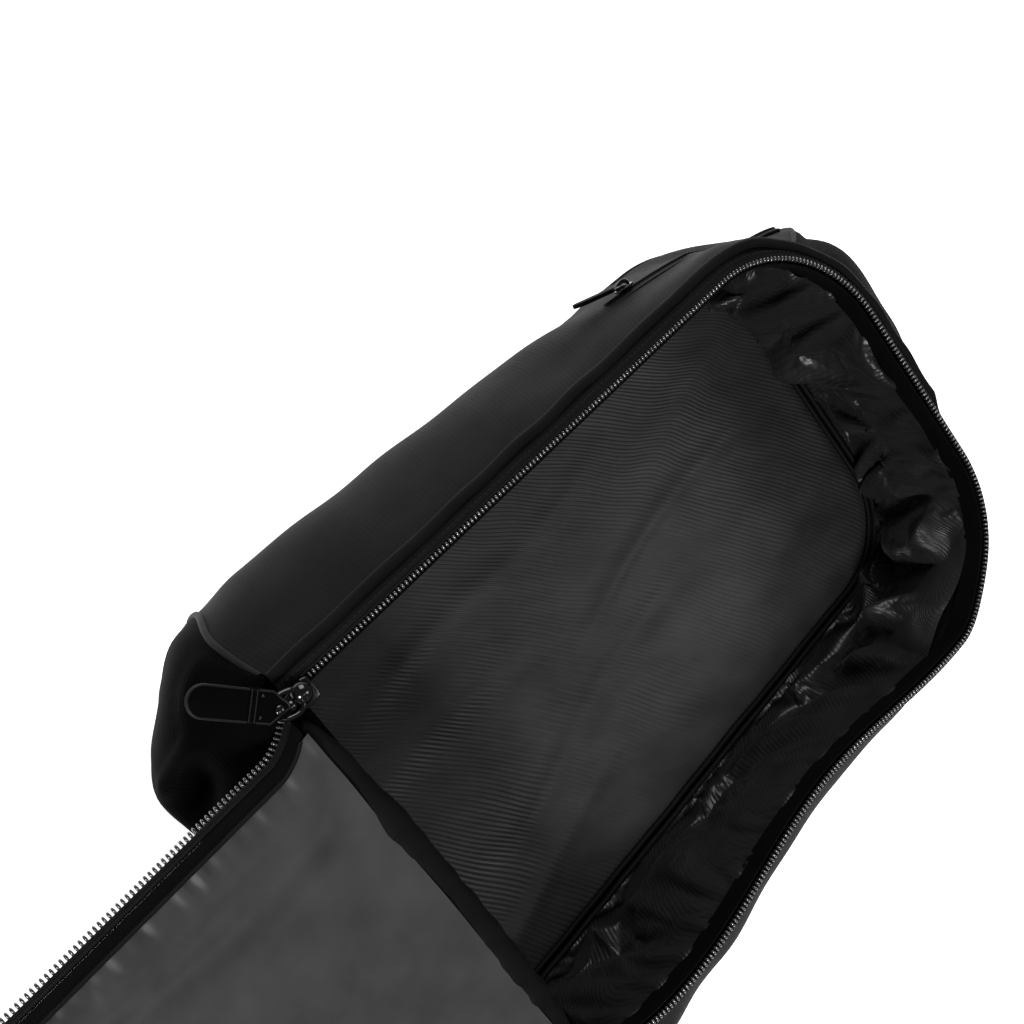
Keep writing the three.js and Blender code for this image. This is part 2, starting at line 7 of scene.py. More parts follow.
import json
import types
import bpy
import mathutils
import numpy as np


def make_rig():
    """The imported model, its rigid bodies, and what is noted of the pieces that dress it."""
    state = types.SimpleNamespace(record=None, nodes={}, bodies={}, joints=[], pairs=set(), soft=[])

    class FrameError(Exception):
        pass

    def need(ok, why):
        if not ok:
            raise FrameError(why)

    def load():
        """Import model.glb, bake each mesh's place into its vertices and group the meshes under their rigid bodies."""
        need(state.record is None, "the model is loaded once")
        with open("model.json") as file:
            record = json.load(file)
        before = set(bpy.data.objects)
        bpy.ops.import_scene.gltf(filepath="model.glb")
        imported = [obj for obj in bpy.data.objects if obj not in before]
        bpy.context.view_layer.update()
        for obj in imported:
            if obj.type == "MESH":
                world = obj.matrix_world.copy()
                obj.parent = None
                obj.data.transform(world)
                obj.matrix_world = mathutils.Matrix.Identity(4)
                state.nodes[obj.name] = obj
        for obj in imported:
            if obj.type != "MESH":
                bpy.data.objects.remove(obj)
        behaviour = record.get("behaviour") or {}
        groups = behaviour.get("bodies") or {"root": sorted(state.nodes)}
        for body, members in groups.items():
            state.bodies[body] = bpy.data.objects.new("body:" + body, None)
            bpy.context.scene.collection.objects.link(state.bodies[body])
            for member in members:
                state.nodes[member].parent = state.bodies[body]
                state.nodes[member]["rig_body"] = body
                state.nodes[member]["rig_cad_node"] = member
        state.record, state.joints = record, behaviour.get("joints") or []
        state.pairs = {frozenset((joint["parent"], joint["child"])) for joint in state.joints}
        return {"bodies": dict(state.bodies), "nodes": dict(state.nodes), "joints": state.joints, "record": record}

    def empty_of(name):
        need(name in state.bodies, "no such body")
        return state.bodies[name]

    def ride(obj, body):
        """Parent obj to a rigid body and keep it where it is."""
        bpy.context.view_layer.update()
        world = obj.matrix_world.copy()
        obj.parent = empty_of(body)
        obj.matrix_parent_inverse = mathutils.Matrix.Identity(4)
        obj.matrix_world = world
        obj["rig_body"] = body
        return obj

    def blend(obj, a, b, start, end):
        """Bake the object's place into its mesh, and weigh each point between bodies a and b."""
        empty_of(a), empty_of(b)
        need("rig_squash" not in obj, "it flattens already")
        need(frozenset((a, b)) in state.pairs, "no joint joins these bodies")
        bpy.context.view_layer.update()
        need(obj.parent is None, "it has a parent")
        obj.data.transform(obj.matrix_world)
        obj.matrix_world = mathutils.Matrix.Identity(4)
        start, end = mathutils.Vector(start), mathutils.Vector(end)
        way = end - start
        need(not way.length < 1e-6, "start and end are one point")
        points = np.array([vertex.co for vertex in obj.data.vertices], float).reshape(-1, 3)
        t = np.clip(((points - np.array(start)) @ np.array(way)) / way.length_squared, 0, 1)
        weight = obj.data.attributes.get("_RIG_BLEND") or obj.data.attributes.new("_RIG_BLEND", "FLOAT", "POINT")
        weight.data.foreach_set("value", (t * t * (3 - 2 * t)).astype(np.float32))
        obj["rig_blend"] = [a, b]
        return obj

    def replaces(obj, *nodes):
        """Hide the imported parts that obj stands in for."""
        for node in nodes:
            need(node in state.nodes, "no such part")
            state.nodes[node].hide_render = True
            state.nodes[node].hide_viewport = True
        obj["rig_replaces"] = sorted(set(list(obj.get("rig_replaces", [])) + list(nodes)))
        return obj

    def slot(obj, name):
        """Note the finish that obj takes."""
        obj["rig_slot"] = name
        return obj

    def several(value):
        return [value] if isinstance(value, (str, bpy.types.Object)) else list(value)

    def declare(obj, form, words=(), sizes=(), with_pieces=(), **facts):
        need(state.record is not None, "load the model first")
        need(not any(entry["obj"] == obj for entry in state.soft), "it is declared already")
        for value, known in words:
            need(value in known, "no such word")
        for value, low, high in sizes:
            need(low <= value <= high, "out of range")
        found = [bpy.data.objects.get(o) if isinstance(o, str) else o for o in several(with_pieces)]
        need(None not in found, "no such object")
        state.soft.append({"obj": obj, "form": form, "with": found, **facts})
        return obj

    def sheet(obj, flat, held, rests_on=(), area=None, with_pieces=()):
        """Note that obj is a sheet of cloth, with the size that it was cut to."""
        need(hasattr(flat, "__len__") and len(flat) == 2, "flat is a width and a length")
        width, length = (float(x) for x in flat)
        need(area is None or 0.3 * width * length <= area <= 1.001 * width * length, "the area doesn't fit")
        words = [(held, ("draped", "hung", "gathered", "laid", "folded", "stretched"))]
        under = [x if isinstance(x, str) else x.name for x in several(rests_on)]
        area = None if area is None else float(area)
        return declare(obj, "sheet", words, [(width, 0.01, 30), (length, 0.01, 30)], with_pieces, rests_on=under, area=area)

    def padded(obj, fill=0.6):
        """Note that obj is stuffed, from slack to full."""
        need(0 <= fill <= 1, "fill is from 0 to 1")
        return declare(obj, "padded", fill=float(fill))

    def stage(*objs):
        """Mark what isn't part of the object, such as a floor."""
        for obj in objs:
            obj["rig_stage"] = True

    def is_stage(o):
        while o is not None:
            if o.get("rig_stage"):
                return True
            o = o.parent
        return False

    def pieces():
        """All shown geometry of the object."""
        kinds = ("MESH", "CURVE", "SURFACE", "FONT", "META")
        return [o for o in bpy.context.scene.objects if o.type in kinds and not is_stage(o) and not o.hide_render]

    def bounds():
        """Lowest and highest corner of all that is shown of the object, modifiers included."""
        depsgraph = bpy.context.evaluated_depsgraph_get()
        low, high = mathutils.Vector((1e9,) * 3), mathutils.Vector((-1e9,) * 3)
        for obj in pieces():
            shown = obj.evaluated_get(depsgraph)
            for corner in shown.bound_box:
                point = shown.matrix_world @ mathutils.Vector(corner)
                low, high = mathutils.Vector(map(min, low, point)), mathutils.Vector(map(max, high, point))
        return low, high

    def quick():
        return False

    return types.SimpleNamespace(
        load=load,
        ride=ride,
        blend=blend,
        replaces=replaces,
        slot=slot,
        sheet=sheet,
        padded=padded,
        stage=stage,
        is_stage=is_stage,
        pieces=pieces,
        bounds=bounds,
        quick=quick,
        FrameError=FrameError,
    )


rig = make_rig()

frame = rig.load()
CAD_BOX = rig.bounds()

import json
import math

import bmesh
import bpy
import numpy as np
from mathutils import Matrix, Vector

# ---- Dimensions shared with the CAD, in millimetres ----
# The outline at each height: half width, near and far end, corner radii, taper, and how far the
# far-right corner sinks towards SINK_CENTRE.
SECTION_Z = (0, 25, 55, 85, 104, 112)
SECTION = {
    "half": (136, 144, 148, 143, 135.5, 131),
    "near": (-214, -232, -238, -222, -200, -192),
    "far": (232, 246, 252, 240, 220, 211),
    "near_r": (42, 55, 60, 34, 12, 5),
    "far_r": (78, 92, 100, 94, 86, 83),
    "taper": (0.05, 0.075, 0.09, 0.06, 0.015, 0),
    "sink": (0, 2, 16, 24, 13, 0),
}
TAPER_REACH = 200
SINK_CENTRE = (30, 110)
SHELL_BOTTOM = 1.8
WALL_TOP = 112
NEAR_WALL_TOP = 111
WALL = 2.6
FLOOR_INSET = 22
FLOOR_TOP = 11
# Places count round the outline from the near-left corner: PLACES of them, with a seam at each of
# these.
FAR_LEFT_SEAM, FAR_RIGHT_SEAM, NEAR_RIGHT_SEAM, NEAR_LEFT_SEAM, PLACES = 9, 19, 28, 44, 44

CORNER_X = 48
CORNER_Y = 128
ZIP_Z = 114
ARC_CENTRE_Y = 60
BODY_COIL_R = 72
LID_COIL_R = 65
LID_PANEL_R = 53
BODY_CHAIN_START = -175
BODY_TRIM_START = -186
TOOTH_PITCH = 2.45

HINGE_Y = -188
LID_CORNER = CORNER_Y - HINGE_Y
LID_FOLD = 180
LID_FOLD_HALF = 28
LID_OPEN = math.radians(178)
LID_BEND = math.radians(36)

SLIDER = (116.5, -182)
TAB = {"half": 7.6, "length": 46, "eye": 4.6, "swing": math.radians(48)}
POCKET_Z = 72
POCKET_PLACES = (4.9, 8.7)
POCKET_HALF = 6
POCKET_SLIDER_Y = 104
HANDLE = {"y": -10, "z": 28, "half": 88, "width": 25, "patch": 22}
SETTLE_FRAMES = 26
LINING_CLEAR = 5.0
LINING_FLAT_HEIGHT = 120.0
STUDIO_HALF = 30


# ---- Numbers ----
def smooth(low, high, value):
    """0 below low, 1 above high, and a smooth step between them."""
    t = np.clip((np.asarray(value, float) - low) / (high - low), 0, 1)
    return t * t * (3 - 2 * t)


def hill(centre, width, value):
    """A rounded hill of height 1."""
    return np.exp(-(((np.asarray(value, float) - centre) / width) ** 2))


def curve(x, xs, ys):
    """A smooth curve through a few points."""
    xs, ys = np.array(xs, float), np.array(ys, float)
    slopes = np.gradient(ys, xs)
    x = np.clip(np.asarray(x, float), xs[0], xs[-1])
    i = np.clip(np.searchsorted(xs, x) - 1, 0, len(xs) - 2)
    step = xs[i + 1] - xs[i]
    t = (x - xs[i]) / step
    start = (2 * t**3 - 3 * t**2 + 1) * ys[i] + (t**3 - 2 * t**2 + t) * step * slopes[i]
    return start + (3 * t**2 - 2 * t**3) * ys[i + 1] + (t**3 - t**2) * step * slopes[i + 1]


def noise(points, length, seed, waves=9):
    """Smooth noise of about -1 to 1 with features about length across."""
    rng = np.random.default_rng(seed)
    total = np.zeros(points.shape[:-1])
    for _ in range(waves):
        direction = rng.normal(size=3)
        direction *= 2 * math.pi / length * rng.uniform(0.6, 1.5) / np.linalg.norm(direction)
        total += np.sin(points @ direction + rng.uniform(0, 2 * math.pi))
    return total / math.sqrt(waves)


def stack(x, y, z):
    return np.stack(np.broadcast_arrays(x, y, z), axis=-1).astype(float)


def unit(vectors):
    return vectors / np.maximum(np.linalg.norm(vectors, axis=-1, keepdims=True), 1e-9)


# ---- Meshes ----
def add_mesh(name, vertices, faces, finish, uv=None, sharp=math.radians(55)):
    """A smooth-shaded mesh from millimetres."""
    mesh = bpy.data.meshes.new(name)
    mesh.from_pydata((np.asarray(vertices, float).reshape(-1, 3) / 1000).tolist(), [], faces)
    if uv is not None:
        layer = mesh.uv_layers.new(name="UVMap")
        at = np.empty(len(mesh.loops), int)
        mesh.loops.foreach_get("vertex_index", at)
        flat = np.asarray(uv, float).reshape(-1, 2) / 1000
        layer.data.foreach_set("uv", flat[at].ravel())
    mesh.polygons.foreach_set("use_smooth", [True] * len(mesh.polygons))
    tidy = bmesh.new()
    tidy.from_mesh(mesh)
    bmesh.ops.recalc_face_normals(tidy, faces=tidy.faces)
    tidy.to_mesh(mesh)
    tidy.free()
    mesh.set_sharp_from_angle(angle=sharp)
    mesh.materials.append(finish)
    obj = bpy.data.objects.new(name, mesh)
    bpy.context.scene.collection.objects.link(obj)
    return obj


def grid_faces(rows, cols, loop=False, first=0):
    """Quads over a grid of vertices. loop joins the last column to the first."""
    r = np.arange(rows - 1)[:, None] * cols
    c = np.arange(cols if loop else cols - 1)[None, :]
    d = (c + 1) % cols
    quads = np.stack([r + c, r + d, r + cols + d, r + cols + c], axis=-1)
    return (quads.reshape(-1, 4) + first).tolist()


def grid_normals(grid, loop=False):
    if loop:
        along = np.roll(grid, -1, axis=1) - np.roll(grid, 1, axis=1)
    else:
        along = np.gradient(grid, axis=1)
    return unit(np.cross(along, np.gradient(grid, axis=0)))


def rim_faces(rows, cols, loop, offset):
    """Quads that join the edge of a grid to the same edge of its copy, offset vertices on."""
    if loop:
        ends = [[(i, (i + 1) % cols) for i in range(cols)]]
        last = (rows - 1) * cols
        ends.append([(last + (i + 1) % cols, last + i) for i in range(cols)])
    else:
        top, bottom = range(cols), range((rows - 1) * cols, rows * cols)
        left, right = range(0, rows * cols, cols), range(cols - 1, rows * cols, cols)
        ends = [zip(line, list(line)[1:]) for line in (top, bottom, left, right)]
    return [[a, b, b + offset, a + offset] for edge in ends for a, b in edge]


def cloth(name, grid, finish, thick, uv=None, loop=False):
    """A closed sheet of cloth: the grid is its face, and its back lies thick behind the normals."""
    rows, cols = grid.shape[:2]
    back = grid - grid_normals(grid, loop) * thick
    size = rows * cols
    if uv is None:
        uv = grid_uv(grid)
    faces = grid_faces(rows, cols, loop) + grid_faces(rows, cols, loop, size)
    faces += rim_faces(rows, cols, loop, size)
    return add_mesh(name, np.concatenate([grid, back]), faces, finish, np.concatenate([uv, uv]))


def grid_uv(grid):
    """Lengths along the middle row, and down the middle column, in millimetres."""
    middle = grid[len(grid) // 2]
    across = np.linalg.norm(np.diff(middle, axis=0), axis=1)
    column = grid[:, grid.shape[1] // 2]
    down = np.linalg.norm(np.diff(column, axis=0), axis=1)
    u = np.concatenate([[0], np.cumsum(across)])[None, :]
    v = np.concatenate([[0], np.cumsum(down)])[:, None]
    return np.stack(np.broadcast_arrays(u, v), axis=-1)


def sweep(name, path, profile, finish, hint=(0, 0, 1), closed=False):
    """A closed profile of (side, up) points swept along a path, with capped ends."""
    path = np.asarray(path, float)
    if closed:
        along = unit(np.roll(path, -1, axis=0) - np.roll(path, 1, axis=0))
    else:
        along = unit(np.gradient(path, axis=0))
    side = unit(np.cross(along, np.broadcast_to(np.asarray(hint, float), path.shape)))
    up = np.cross(side, along)
    profile = np.asarray(profile, float)
    offset = profile[None, :, :1] * side[:, None] + profile[None, :, 1:] * up[:, None]
    rings = path[:, None] + offset
    if closed:
        rings = np.concatenate([rings, rings[:1]])
    rows, cols = rings.shape[:2]
    run = np.concatenate([[0], np.cumsum(np.linalg.norm(np.diff(rings[:, 0], axis=0), axis=1))])
    girth = np.linalg.norm(np.roll(profile, -1, axis=0) - profile, axis=1)
    around = np.concatenate([[0], np.cumsum(girth)[:-1]])
    uv = np.stack(np.broadcast_arrays(run[:, None], around[None, :]), axis=-1)
    faces = grid_faces(rows, cols, True)
    if not closed:
        faces += [list(range(cols)), list(range((rows - 1) * cols, rows * cols))]
    return add_mesh(name, rings, faces, finish, uv)


def circle(radius, sides=10, squash=1.0):
    turn = np.arange(sides) / sides * 2 * math.pi
    return np.stack([radius * np.cos(turn), squash * radius * np.sin(turn)], axis=-1)


def slab(low, high, bottom, top, round_by=0.25):
    """A flat profile with softened corners, from side low to high and up bottom to top."""
    b = min(round_by, (top - bottom) / 2.5, (high - low) / 2.5)
    corners = [(low, bottom), (high, bottom), (high, top), (low, top)]
    inward = [(1, 1), (-1, 1), (-1, -1), (1, -1)]
    points = []
    for k, ((x, y), (dx, dy)) in enumerate(zip(corners, inward)):
        pair = [(x, y + dy * b), (x + dx * b, y)]
        points += pair if k % 2 == 0 else pair[::-1]
    return points


def beads(name, centres, along, side, up, size, finish):
    """A row of small rounded bars. size is their (along, side, up) half lengths."""
    ball = bmesh.new()
    bmesh.ops.create_uvsphere(ball, u_segments=8, v_segments=6, radius=1)
    shape = np.array([v.co for v in ball.verts])
    quads = [[v.index for v in f.verts] for f in ball.faces]
    ball.free()
    shape = np.sign(shape) * np.abs(shape) ** 0.7
    parts = (
        shape[None, :, :1] * along[:, None] * size[0]
        + shape[None, :, 1:2] * side[:, None] * size[1]
        + shape[None, :, 2:] * up[:, None] * size[2]
    )
    vertices = (centres[:, None] + parts).reshape(-1, 3)
    count = len(shape)
    faces = [[i + k * count for i in quad] for k in range(len(centres)) for quad in quads]
    return add_mesh(name, vertices, faces, finish, sharp=math.radians(80))


def spaced(path, pitch):
    """Points at an even pitch along a path, and their along directions."""
    path = np.asarray(path, float)
    run = np.concatenate([[0], np.cumsum(np.linalg.norm(np.diff(path, axis=0), axis=1))])
    at = np.arange(pitch / 2, run[-1], pitch)
    points = np.stack([np.interp(at, run, path[:, k]) for k in range(3)], axis=-1)
    return points, unit(np.gradient(points, axis=0))


def stitches(name, path, finish, pitch=3.2):
    """A row of short thread stitches along a path that lies on a level surface."""
    points, along = spaced(path, pitch)
    normal = np.broadcast_to((0.0, 0.0, 1.0), points.shape)
    side = np.cross(normal, along)
    return beads(name, points + normal * 0.15, along, side, normal, (1.15, 0.32, 0.28), finish)


# ---- Materials ----
class Recipe:
    """A Principled material built node by node. Its textures run in metres over the UV map."""

    def __init__(self, name, colour, roughness, specular, coordinates="UV", vary=(0.06, 14)):
        self.material = bpy.data.materials.new(name)
        self.material.use_nodes = True
        self.tree = self.material.node_tree
        self.shader = self.tree.nodes["Principled BSDF"]
        self.set("Specular IOR Level", specular)
        self.material.diffuse_color = (*([colour] * 3), 1)
        self.where = self.node("ShaderNodeTexCoord").outputs[coordinates]
        self.normal = None
        self.colour(colour)
        value = self.mix(self.noise(vary[1], 2), roughness - vary[0], roughness + vary[0])
        self.tree.links.new(value, self.shader.inputs["Roughness"])

    def set(self, socket, value):
        self.shader.inputs[socket].default_value = value
        return self

    def node(self, kind, **inputs):
        made = self.tree.nodes.new(kind)
        for key, value in inputs.items():
            socket = made.inputs[key.replace("_", " ")]
            if isinstance(value, bpy.types.NodeSocket):
                self.tree.links.new(value, socket)
            else:
                socket.default_value = value
        return made

    def noise(self, size, detail=3):
        """Cloudy noise with features size across, in millimetres."""
        scale = 1000 / size
        made = self.node("ShaderNodeTexNoise", Vector=self.where, Scale=scale, Detail=detail)
        return made.outputs["Fac"]

    def ribs(self, pitch, axis="X", wander=0.0, wander_size=20):
        """Sine ribs of this pitch in millimetres, which wander sideways by up to wander pitches."""
        wave = self.node("ShaderNodeTexWave", Vector=self.where, Scale=0.31416 * 1000 / pitch)
        wave.bands_direction = axis
        wave.inputs["Distortion"].default_value = wander * 6
        wave.inputs["Detail Scale"].default_value = pitch / wander_size
        return wave.outputs["Fac"]

    def mix(self, factor, low, high):
        made = self.node("ShaderNodeMapRange", Value=factor)
        made.inputs["To Min"].default_value = low
        made.inputs["To Max"].default_value = high
        return made.outputs[0]

    def product(self, a, b):
        made = self.node("ShaderNodeMath")
        made.operation = "MULTIPLY"
        self.tree.links.new(a, made.inputs[0])
        self.tree.links.new(b, made.inputs[1])
        return made.outputs[0]

    def colour(self, grey, vary=0.25, size=26):
        ramp = self.node("ShaderNodeValToRGB", Fac=self.noise(size, 4))
        low, high = ramp.color_ramp.elements
        low.position, high.position = 0.3, 0.7
        low.color = (*([grey * (1 - vary)] * 3), 1)
        high.color = (*([grey * (1 + vary)] * 3), 1)
        self.tree.links.new(ramp.outputs["Color"], self.shader.inputs["Base Color"])
        return self

    def raise_by(self, height, distance, strength=1.0):
        """Adds a bump of this height in millimetres on top of those before."""
        bump = self.node("ShaderNodeBump", Height=height)
        bump.inputs["Distance"].default_value = distance / 1000
        bump.inputs["Strength"].default_value = strength
        if self.normal:
            self.tree.links.new(self.normal, bump.inputs["Normal"])
        self.normal = bump.outputs[0]
        self.tree.links.new(self.normal, self.shader.inputs["Normal"])
        return self

    def weave(self, pitch, depth):
        return self.raise_by(self.product(self.ribs(pitch, "X"), self.ribs(pitch, "Y")), depth)


def cloth_finish(name, grey, roughness, shine, sheen, clouds, ribs, weave):
    """A cloth. sheen is (weight, roughness). Its relief is soft clouds of (size, detail, height,
    strength), ribs of (pitch, axis, wander, wander size, height), and a weave of (pitch, depth)."""
    m = Recipe(name, grey, roughness, shine)
    if clouds:
        m.raise_by(m.noise(*clouds[:2]), *clouds[2:])
    if ribs:
        m.raise_by(m.ribs(*ribs[:4]), ribs[4])
    return m.weave(*weave).set("Sheen Weight", sheen[0]).set("Sheen Roughness", sheen[1]).material


def floor_cloth():
    """Its ribs come and go over the floor."""
    m = Recipe("floor_cloth", 0.022, 0.35, 0.15)
    m.raise_by(m.noise(60, 3), 1.0, 0.5)
    faded = m.product(m.ribs(2.5, "Y", 0.35, 30), m.mix(m.noise(110, 2), -0.4, 1.6))
    m.raise_by(faded, 0.36).weave(0.55, 0.02)
    return m.set("Sheen Weight", 0.02).set("Sheen Roughness", 0.4).material


def tape_cloth():
    m = Recipe("tape_cloth", 0.0014, 0.62, 0.03)
    m.raise_by(m.ribs(0.9, "Y"), 0.10).raise_by(m.ribs(1.6, "X"), 0.06)
    return m.set("Sheen Weight", 0.008).material


def webbing_cloth():
    m = Recipe("webbing_cloth", 0.005, 0.7, 0.14)
    m.raise_by(m.product(m.ribs(1.8, "X"), m.ribs(1.4, "Y")), 0.35)
    return m.raise_by(m.ribs(4.2, "Y"), 0.15).material


def hard_finish(name, grey, roughness, shine, grain, coat=(0, 0.03), vary=(0.06, 14)):
    """Nylon, metal, rubber, thread or foam. grain is (size, detail, height), and coat is
    (weight, roughness)."""
    m = Recipe(name, grey, roughness, shine, "Object", vary)
    m.raise_by(m.noise(*grain[:2]), grain[2])
    return m.set("Coat Weight", coat[0]).set("Coat Roughness", coat[1]).material


SHELL = cloth_finish(
    "shell_cloth", 0.0028, 0.62, 0.05, (0.012, 0.45),
    (45, 3, 1.2, 0.5), (2.6, "X", 0.25, 60, 0.08), (0.55, 0.05),
)
# The end walls' copy of shell_cloth: the same fabric, with a darker grey that paints the shade on walls facing away
# from the light.
SHELL_PAINTED_SHADE = cloth_finish(
    "shell_cloth_end", 0.0007, 0.62, 0.012, (0.002, 0.45),
    (45, 3, 1.2, 0.5), (2.6, "Y", 0.25, 60, 0.06), (0.55, 0.05),
)
LINING = cloth_finish(
    "lining_cloth", 0.012, 0.36, 0.34, (0.02, 0.4),
    (12, 4, 0.5, 0.6), (2.9, "X", 0.5, 30, 0.16), (0.5, 0.02),
)
# The lid's copy of the lining: smoother and without ribs, and a lighter grey that paints the light falling on the open
# lid.
LID_LINING_PAINTED_LIGHT = cloth_finish(
    "lid_lining_cloth", 0.027, 0.46, 0.20, (0.03, 0.4),
    (30, 3, 0.7, 0.5), None, (0.5, 0.02),
)
TRIM = cloth_finish(
    "trim_cloth", 0.0020, 0.56, 0.09, (0.008, 0.5),
    None, (1.1, "X", 0.1, 20, 0.10), (0.4, 0.04),
)
FLOOR = floor_cloth()
TAPE = tape_cloth()
WEBBING = webbing_cloth()
COIL = hard_finish("coil_nylon", 0.03, 0.14, 0.9, (0.8, 2, 0.03), (0.7, 0.08))
# The lid's half of the same zip takes a darker, duller copy of coil_nylon: its lower grey paints shade on the lid's
# teeth.
LID_COIL_PAINTED_SHADE = hard_finish("lid_coil_nylon", 0.012, 0.14, 0.5, (0.8, 2, 0.03), (0.35, 0.08))
METAL = hard_finish("black_metal", 0.0015, 0.14, 0.35, (3, 2, 0.02), (0.15, 0.05), (0.04, 6))
RUBBER = hard_finish("pull_rubber", 0.0008, 0.62, 0.02, (0.6, 3, 0.05))
# The pull tab's raised rim: the same rubber, glossier, and a lighter grey that paints the highlight along it.
TAB_RIM_PAINTED_HIGHLIGHT = hard_finish("tab_edge", 0.004, 0.42, 0.14, (0.9, 2, 0.04))
THREAD = hard_finish("thread", 0.0045, 0.5, 0.18, (0.4, 2, 0.05))
FOAM = hard_finish("foam", 0.03, 0.9, 0.1, (1.5, 4, 0.3))


def part(obj, body, slot, *nodes):
    """Puts a finished piece in its record slot, in place of CAD nodes, and on its body. A piece
    with no body is blended between two by its caller."""
    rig.slot(obj, slot)
    if nodes:
        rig.replaces(obj, *nodes)
    if body:
        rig.ride(obj, body)
    return obj


# ---- The bag's body ----
def far_slump(place, z):
    """How far the far end has slumped in: low beyond the pocket, and a little high up."""
    low = 16 * hill(7.3, 1.4, place) * smooth(5, 50, z) * (1 - smooth(78, 114, z))
    high = 1.5 * hill(10.8, 2.2, place) * smooth(45, 80, z)
    return low + high * (1 - 0.6 * smooth(96, 112, z))


def around(place, z, inset=0.0):
    """Points of the outline at each place (44 round the bag) and height, inset from the outside."""
    place, z, inset = np.broadcast_arrays(np.mod(place, PLACES), z, inset)
    inset = inset + far_slump(place, z)
    s = {key: curve(z, SECTION_Z, values) for key, values in SECTION.items()}
    half, near, far = s["half"] - inset, s["near"] + inset, s["far"] - inset
    near_r, far_r = np.maximum(1, s["near_r"] - inset), s["far_r"] - inset

    def line(a, b, first, steps):
        return a + (b - a) * (place - first) / steps

    def arc(cx, cy, radius, start, first):
        angle = np.radians(start - 90 * (place - first) / 6)
        return cx + radius * np.cos(angle), cy + radius * np.sin(angle)

    left = (-half, line(near + near_r, far - far_r, 0, 6))
    far_left = arc(far_r - half, far - far_r, far_r, 180, 6)
    end = (line(far_r - half, half - far_r, 12, 4), far)
    far_right = arc(half - far_r, far - far_r, far_r, 90, 16)
    right = (half, line(far - far_r, near + near_r, 22, 6))
    near_right = arc(half - near_r, near + near_r, near_r, 0, 28)
    close = (line(half - near_r, near_r - half, 34, 4), near)
    near_left = arc(near_r - half, near + near_r, near_r, -90, 38)
    runs = [left, far_left, end, far_right, right, near_right, close, near_left]
    bounds = [6, 12, 16, 22, 28, 34, 38, 44.0001]
    choices = [place < b for b in bounds]
    x = np.select(choices, [np.broadcast_to(r[0], place.shape) for r in runs])
    y = np.select(choices, [np.broadcast_to(r[1], place.shape) for r in runs])
    x = x * (1 - s["taper"] * y / TAPER_REACH)
    to_x, to_y = SINK_CENTRE[0] - x, SINK_CENTRE[1] - y
    move = s["sink"] * smooth(-30, 40, x) * smooth(86, 150, y) / np.hypot(to_x, to_y)
    return x + to_x * move, y + to_y * move


def sway(points):
    """The right side of the open rim falls in a slow wave."""
    x, y, z = points[..., 0], points[..., 1], points[..., 2]
    wave = 6.3 * np.cos(2 * math.pi * (y - 127) / 245)
    fade = smooth(-185, -140, y) * (1 - smooth(128, 175, y))
    fade = fade * smooth(50, 105, z) * smooth(60, 110, x)
    moved = points.copy()
    moved[..., 0] += wave * fade
    return moved


def body_grid(first, last, heights, inset=0.0, pitch=2.4):
    """A grid over the walls between two places, at these heights, with even columns."""
    sample = np.linspace(first, last, 400)
    x, y = around(sample, 60.0)
    run = np.concatenate([[0], np.cumsum(np.hypot(np.diff(x), np.diff(y)))])
    count = max(4, int(run[-1] / pitch))
    place = np.interp(np.linspace(0, run[-1], count + 1), run, sample)[None, :]
    z = np.asarray(heights, float)[:, None]
    px, py = around(place, z, inset)
    return stack(px, py, z), np.broadcast_to(place, px.shape)


def outward(grid):
    """Level outward directions of a wall grid."""
    normal = grid_normals(grid)
    middle = grid * (1, 1, 0)
    facing = np.sign(np.sum(normal * middle, axis=-1, keepdims=True))
    return normal * np.where(facing == 0, 1, facing)


def wall_swell(grid, place, first, last):
    """How far a padded wall stands out: full in the middle, drawn in at its seams."""
    z = grid[..., 2]
    from_seam = np.minimum(place - first, last - place)
    swell = 1.6 * smooth(0, 1.2, from_seam) - 1.6
    swell += 0.9 * noise(grid, 70, 3) * smooth(0, 0.6, from_seam)
    return swell * smooth(2, 20, z) * (1 - 0.6 * smooth(95, 112, z))


def left_folds(grid, place):
    """The dip under the outer pocket's zip, and the fuller corner beyond it."""
    y, z = grid[..., 1], grid[..., 2]
    crease = -2.0 * hill(0, 5, y - 171 - 0.25 * (z - 70)) * smooth(30, 60, z)
    sag = -1.5 * hill(60, 60, y) * hill(95, 14, z)
    return crease + sag + 3.5 * hill(50, 30, z) * (1 - smooth(40, 120, y))


def near_folds(grid, place):
    """The near end has slumped: a dent in each corner, a ridge over it and a hollow beside it."""
    x, z = np.abs(grid[..., 0]), grid[..., 2]
    corner = np.minimum(np.abs(place - 41.2), np.abs(place - 30.8))
    dent = -8.5 * hill(0, 1.5, corner) * hill(30, 34, z)
    brow = 1.6 * hill(86, 4, z) * hill(0, 1.7, corner)
    ridge_x = 107 + 0.5 * (z - 45)
    ridge = 3.4 * hill(0, 4, x - ridge_x) * smooth(36, 54, z) * (1 - smooth(80, 92, z))
    hollow = -15 * hill(0, 13, x - ridge_x + 16) * hill(66, 17, z)
    shelf = 3 * hill(0, 9, z - 36 - 0.4 * (105 - x)) * smooth(50, 90, x) * (1 - smooth(104, 122, x))
    slump = (1.6 * noise(grid, 70, 11) - 5 * hill(62, 22, z)) * hill(50, 34, z)
    slump = slump * (1 - smooth(40, 100, x))
    return dent + brow + ridge + hollow + shelf + slump


def far_folds(grid, place):
    z = grid[..., 2]
    return (2.2 * noise(grid, 60, 21) - 3.0 * hill(78, 16, z)) * smooth(10, 40, z)


def right_folds(grid, place):
    y, z = grid[..., 1], grid[..., 2]
    return 1.8 * noise(grid, 80, 31) * smooth(20, 50, z) - 1.5 * hill(90, 14, z) * hill(40, 90, y)


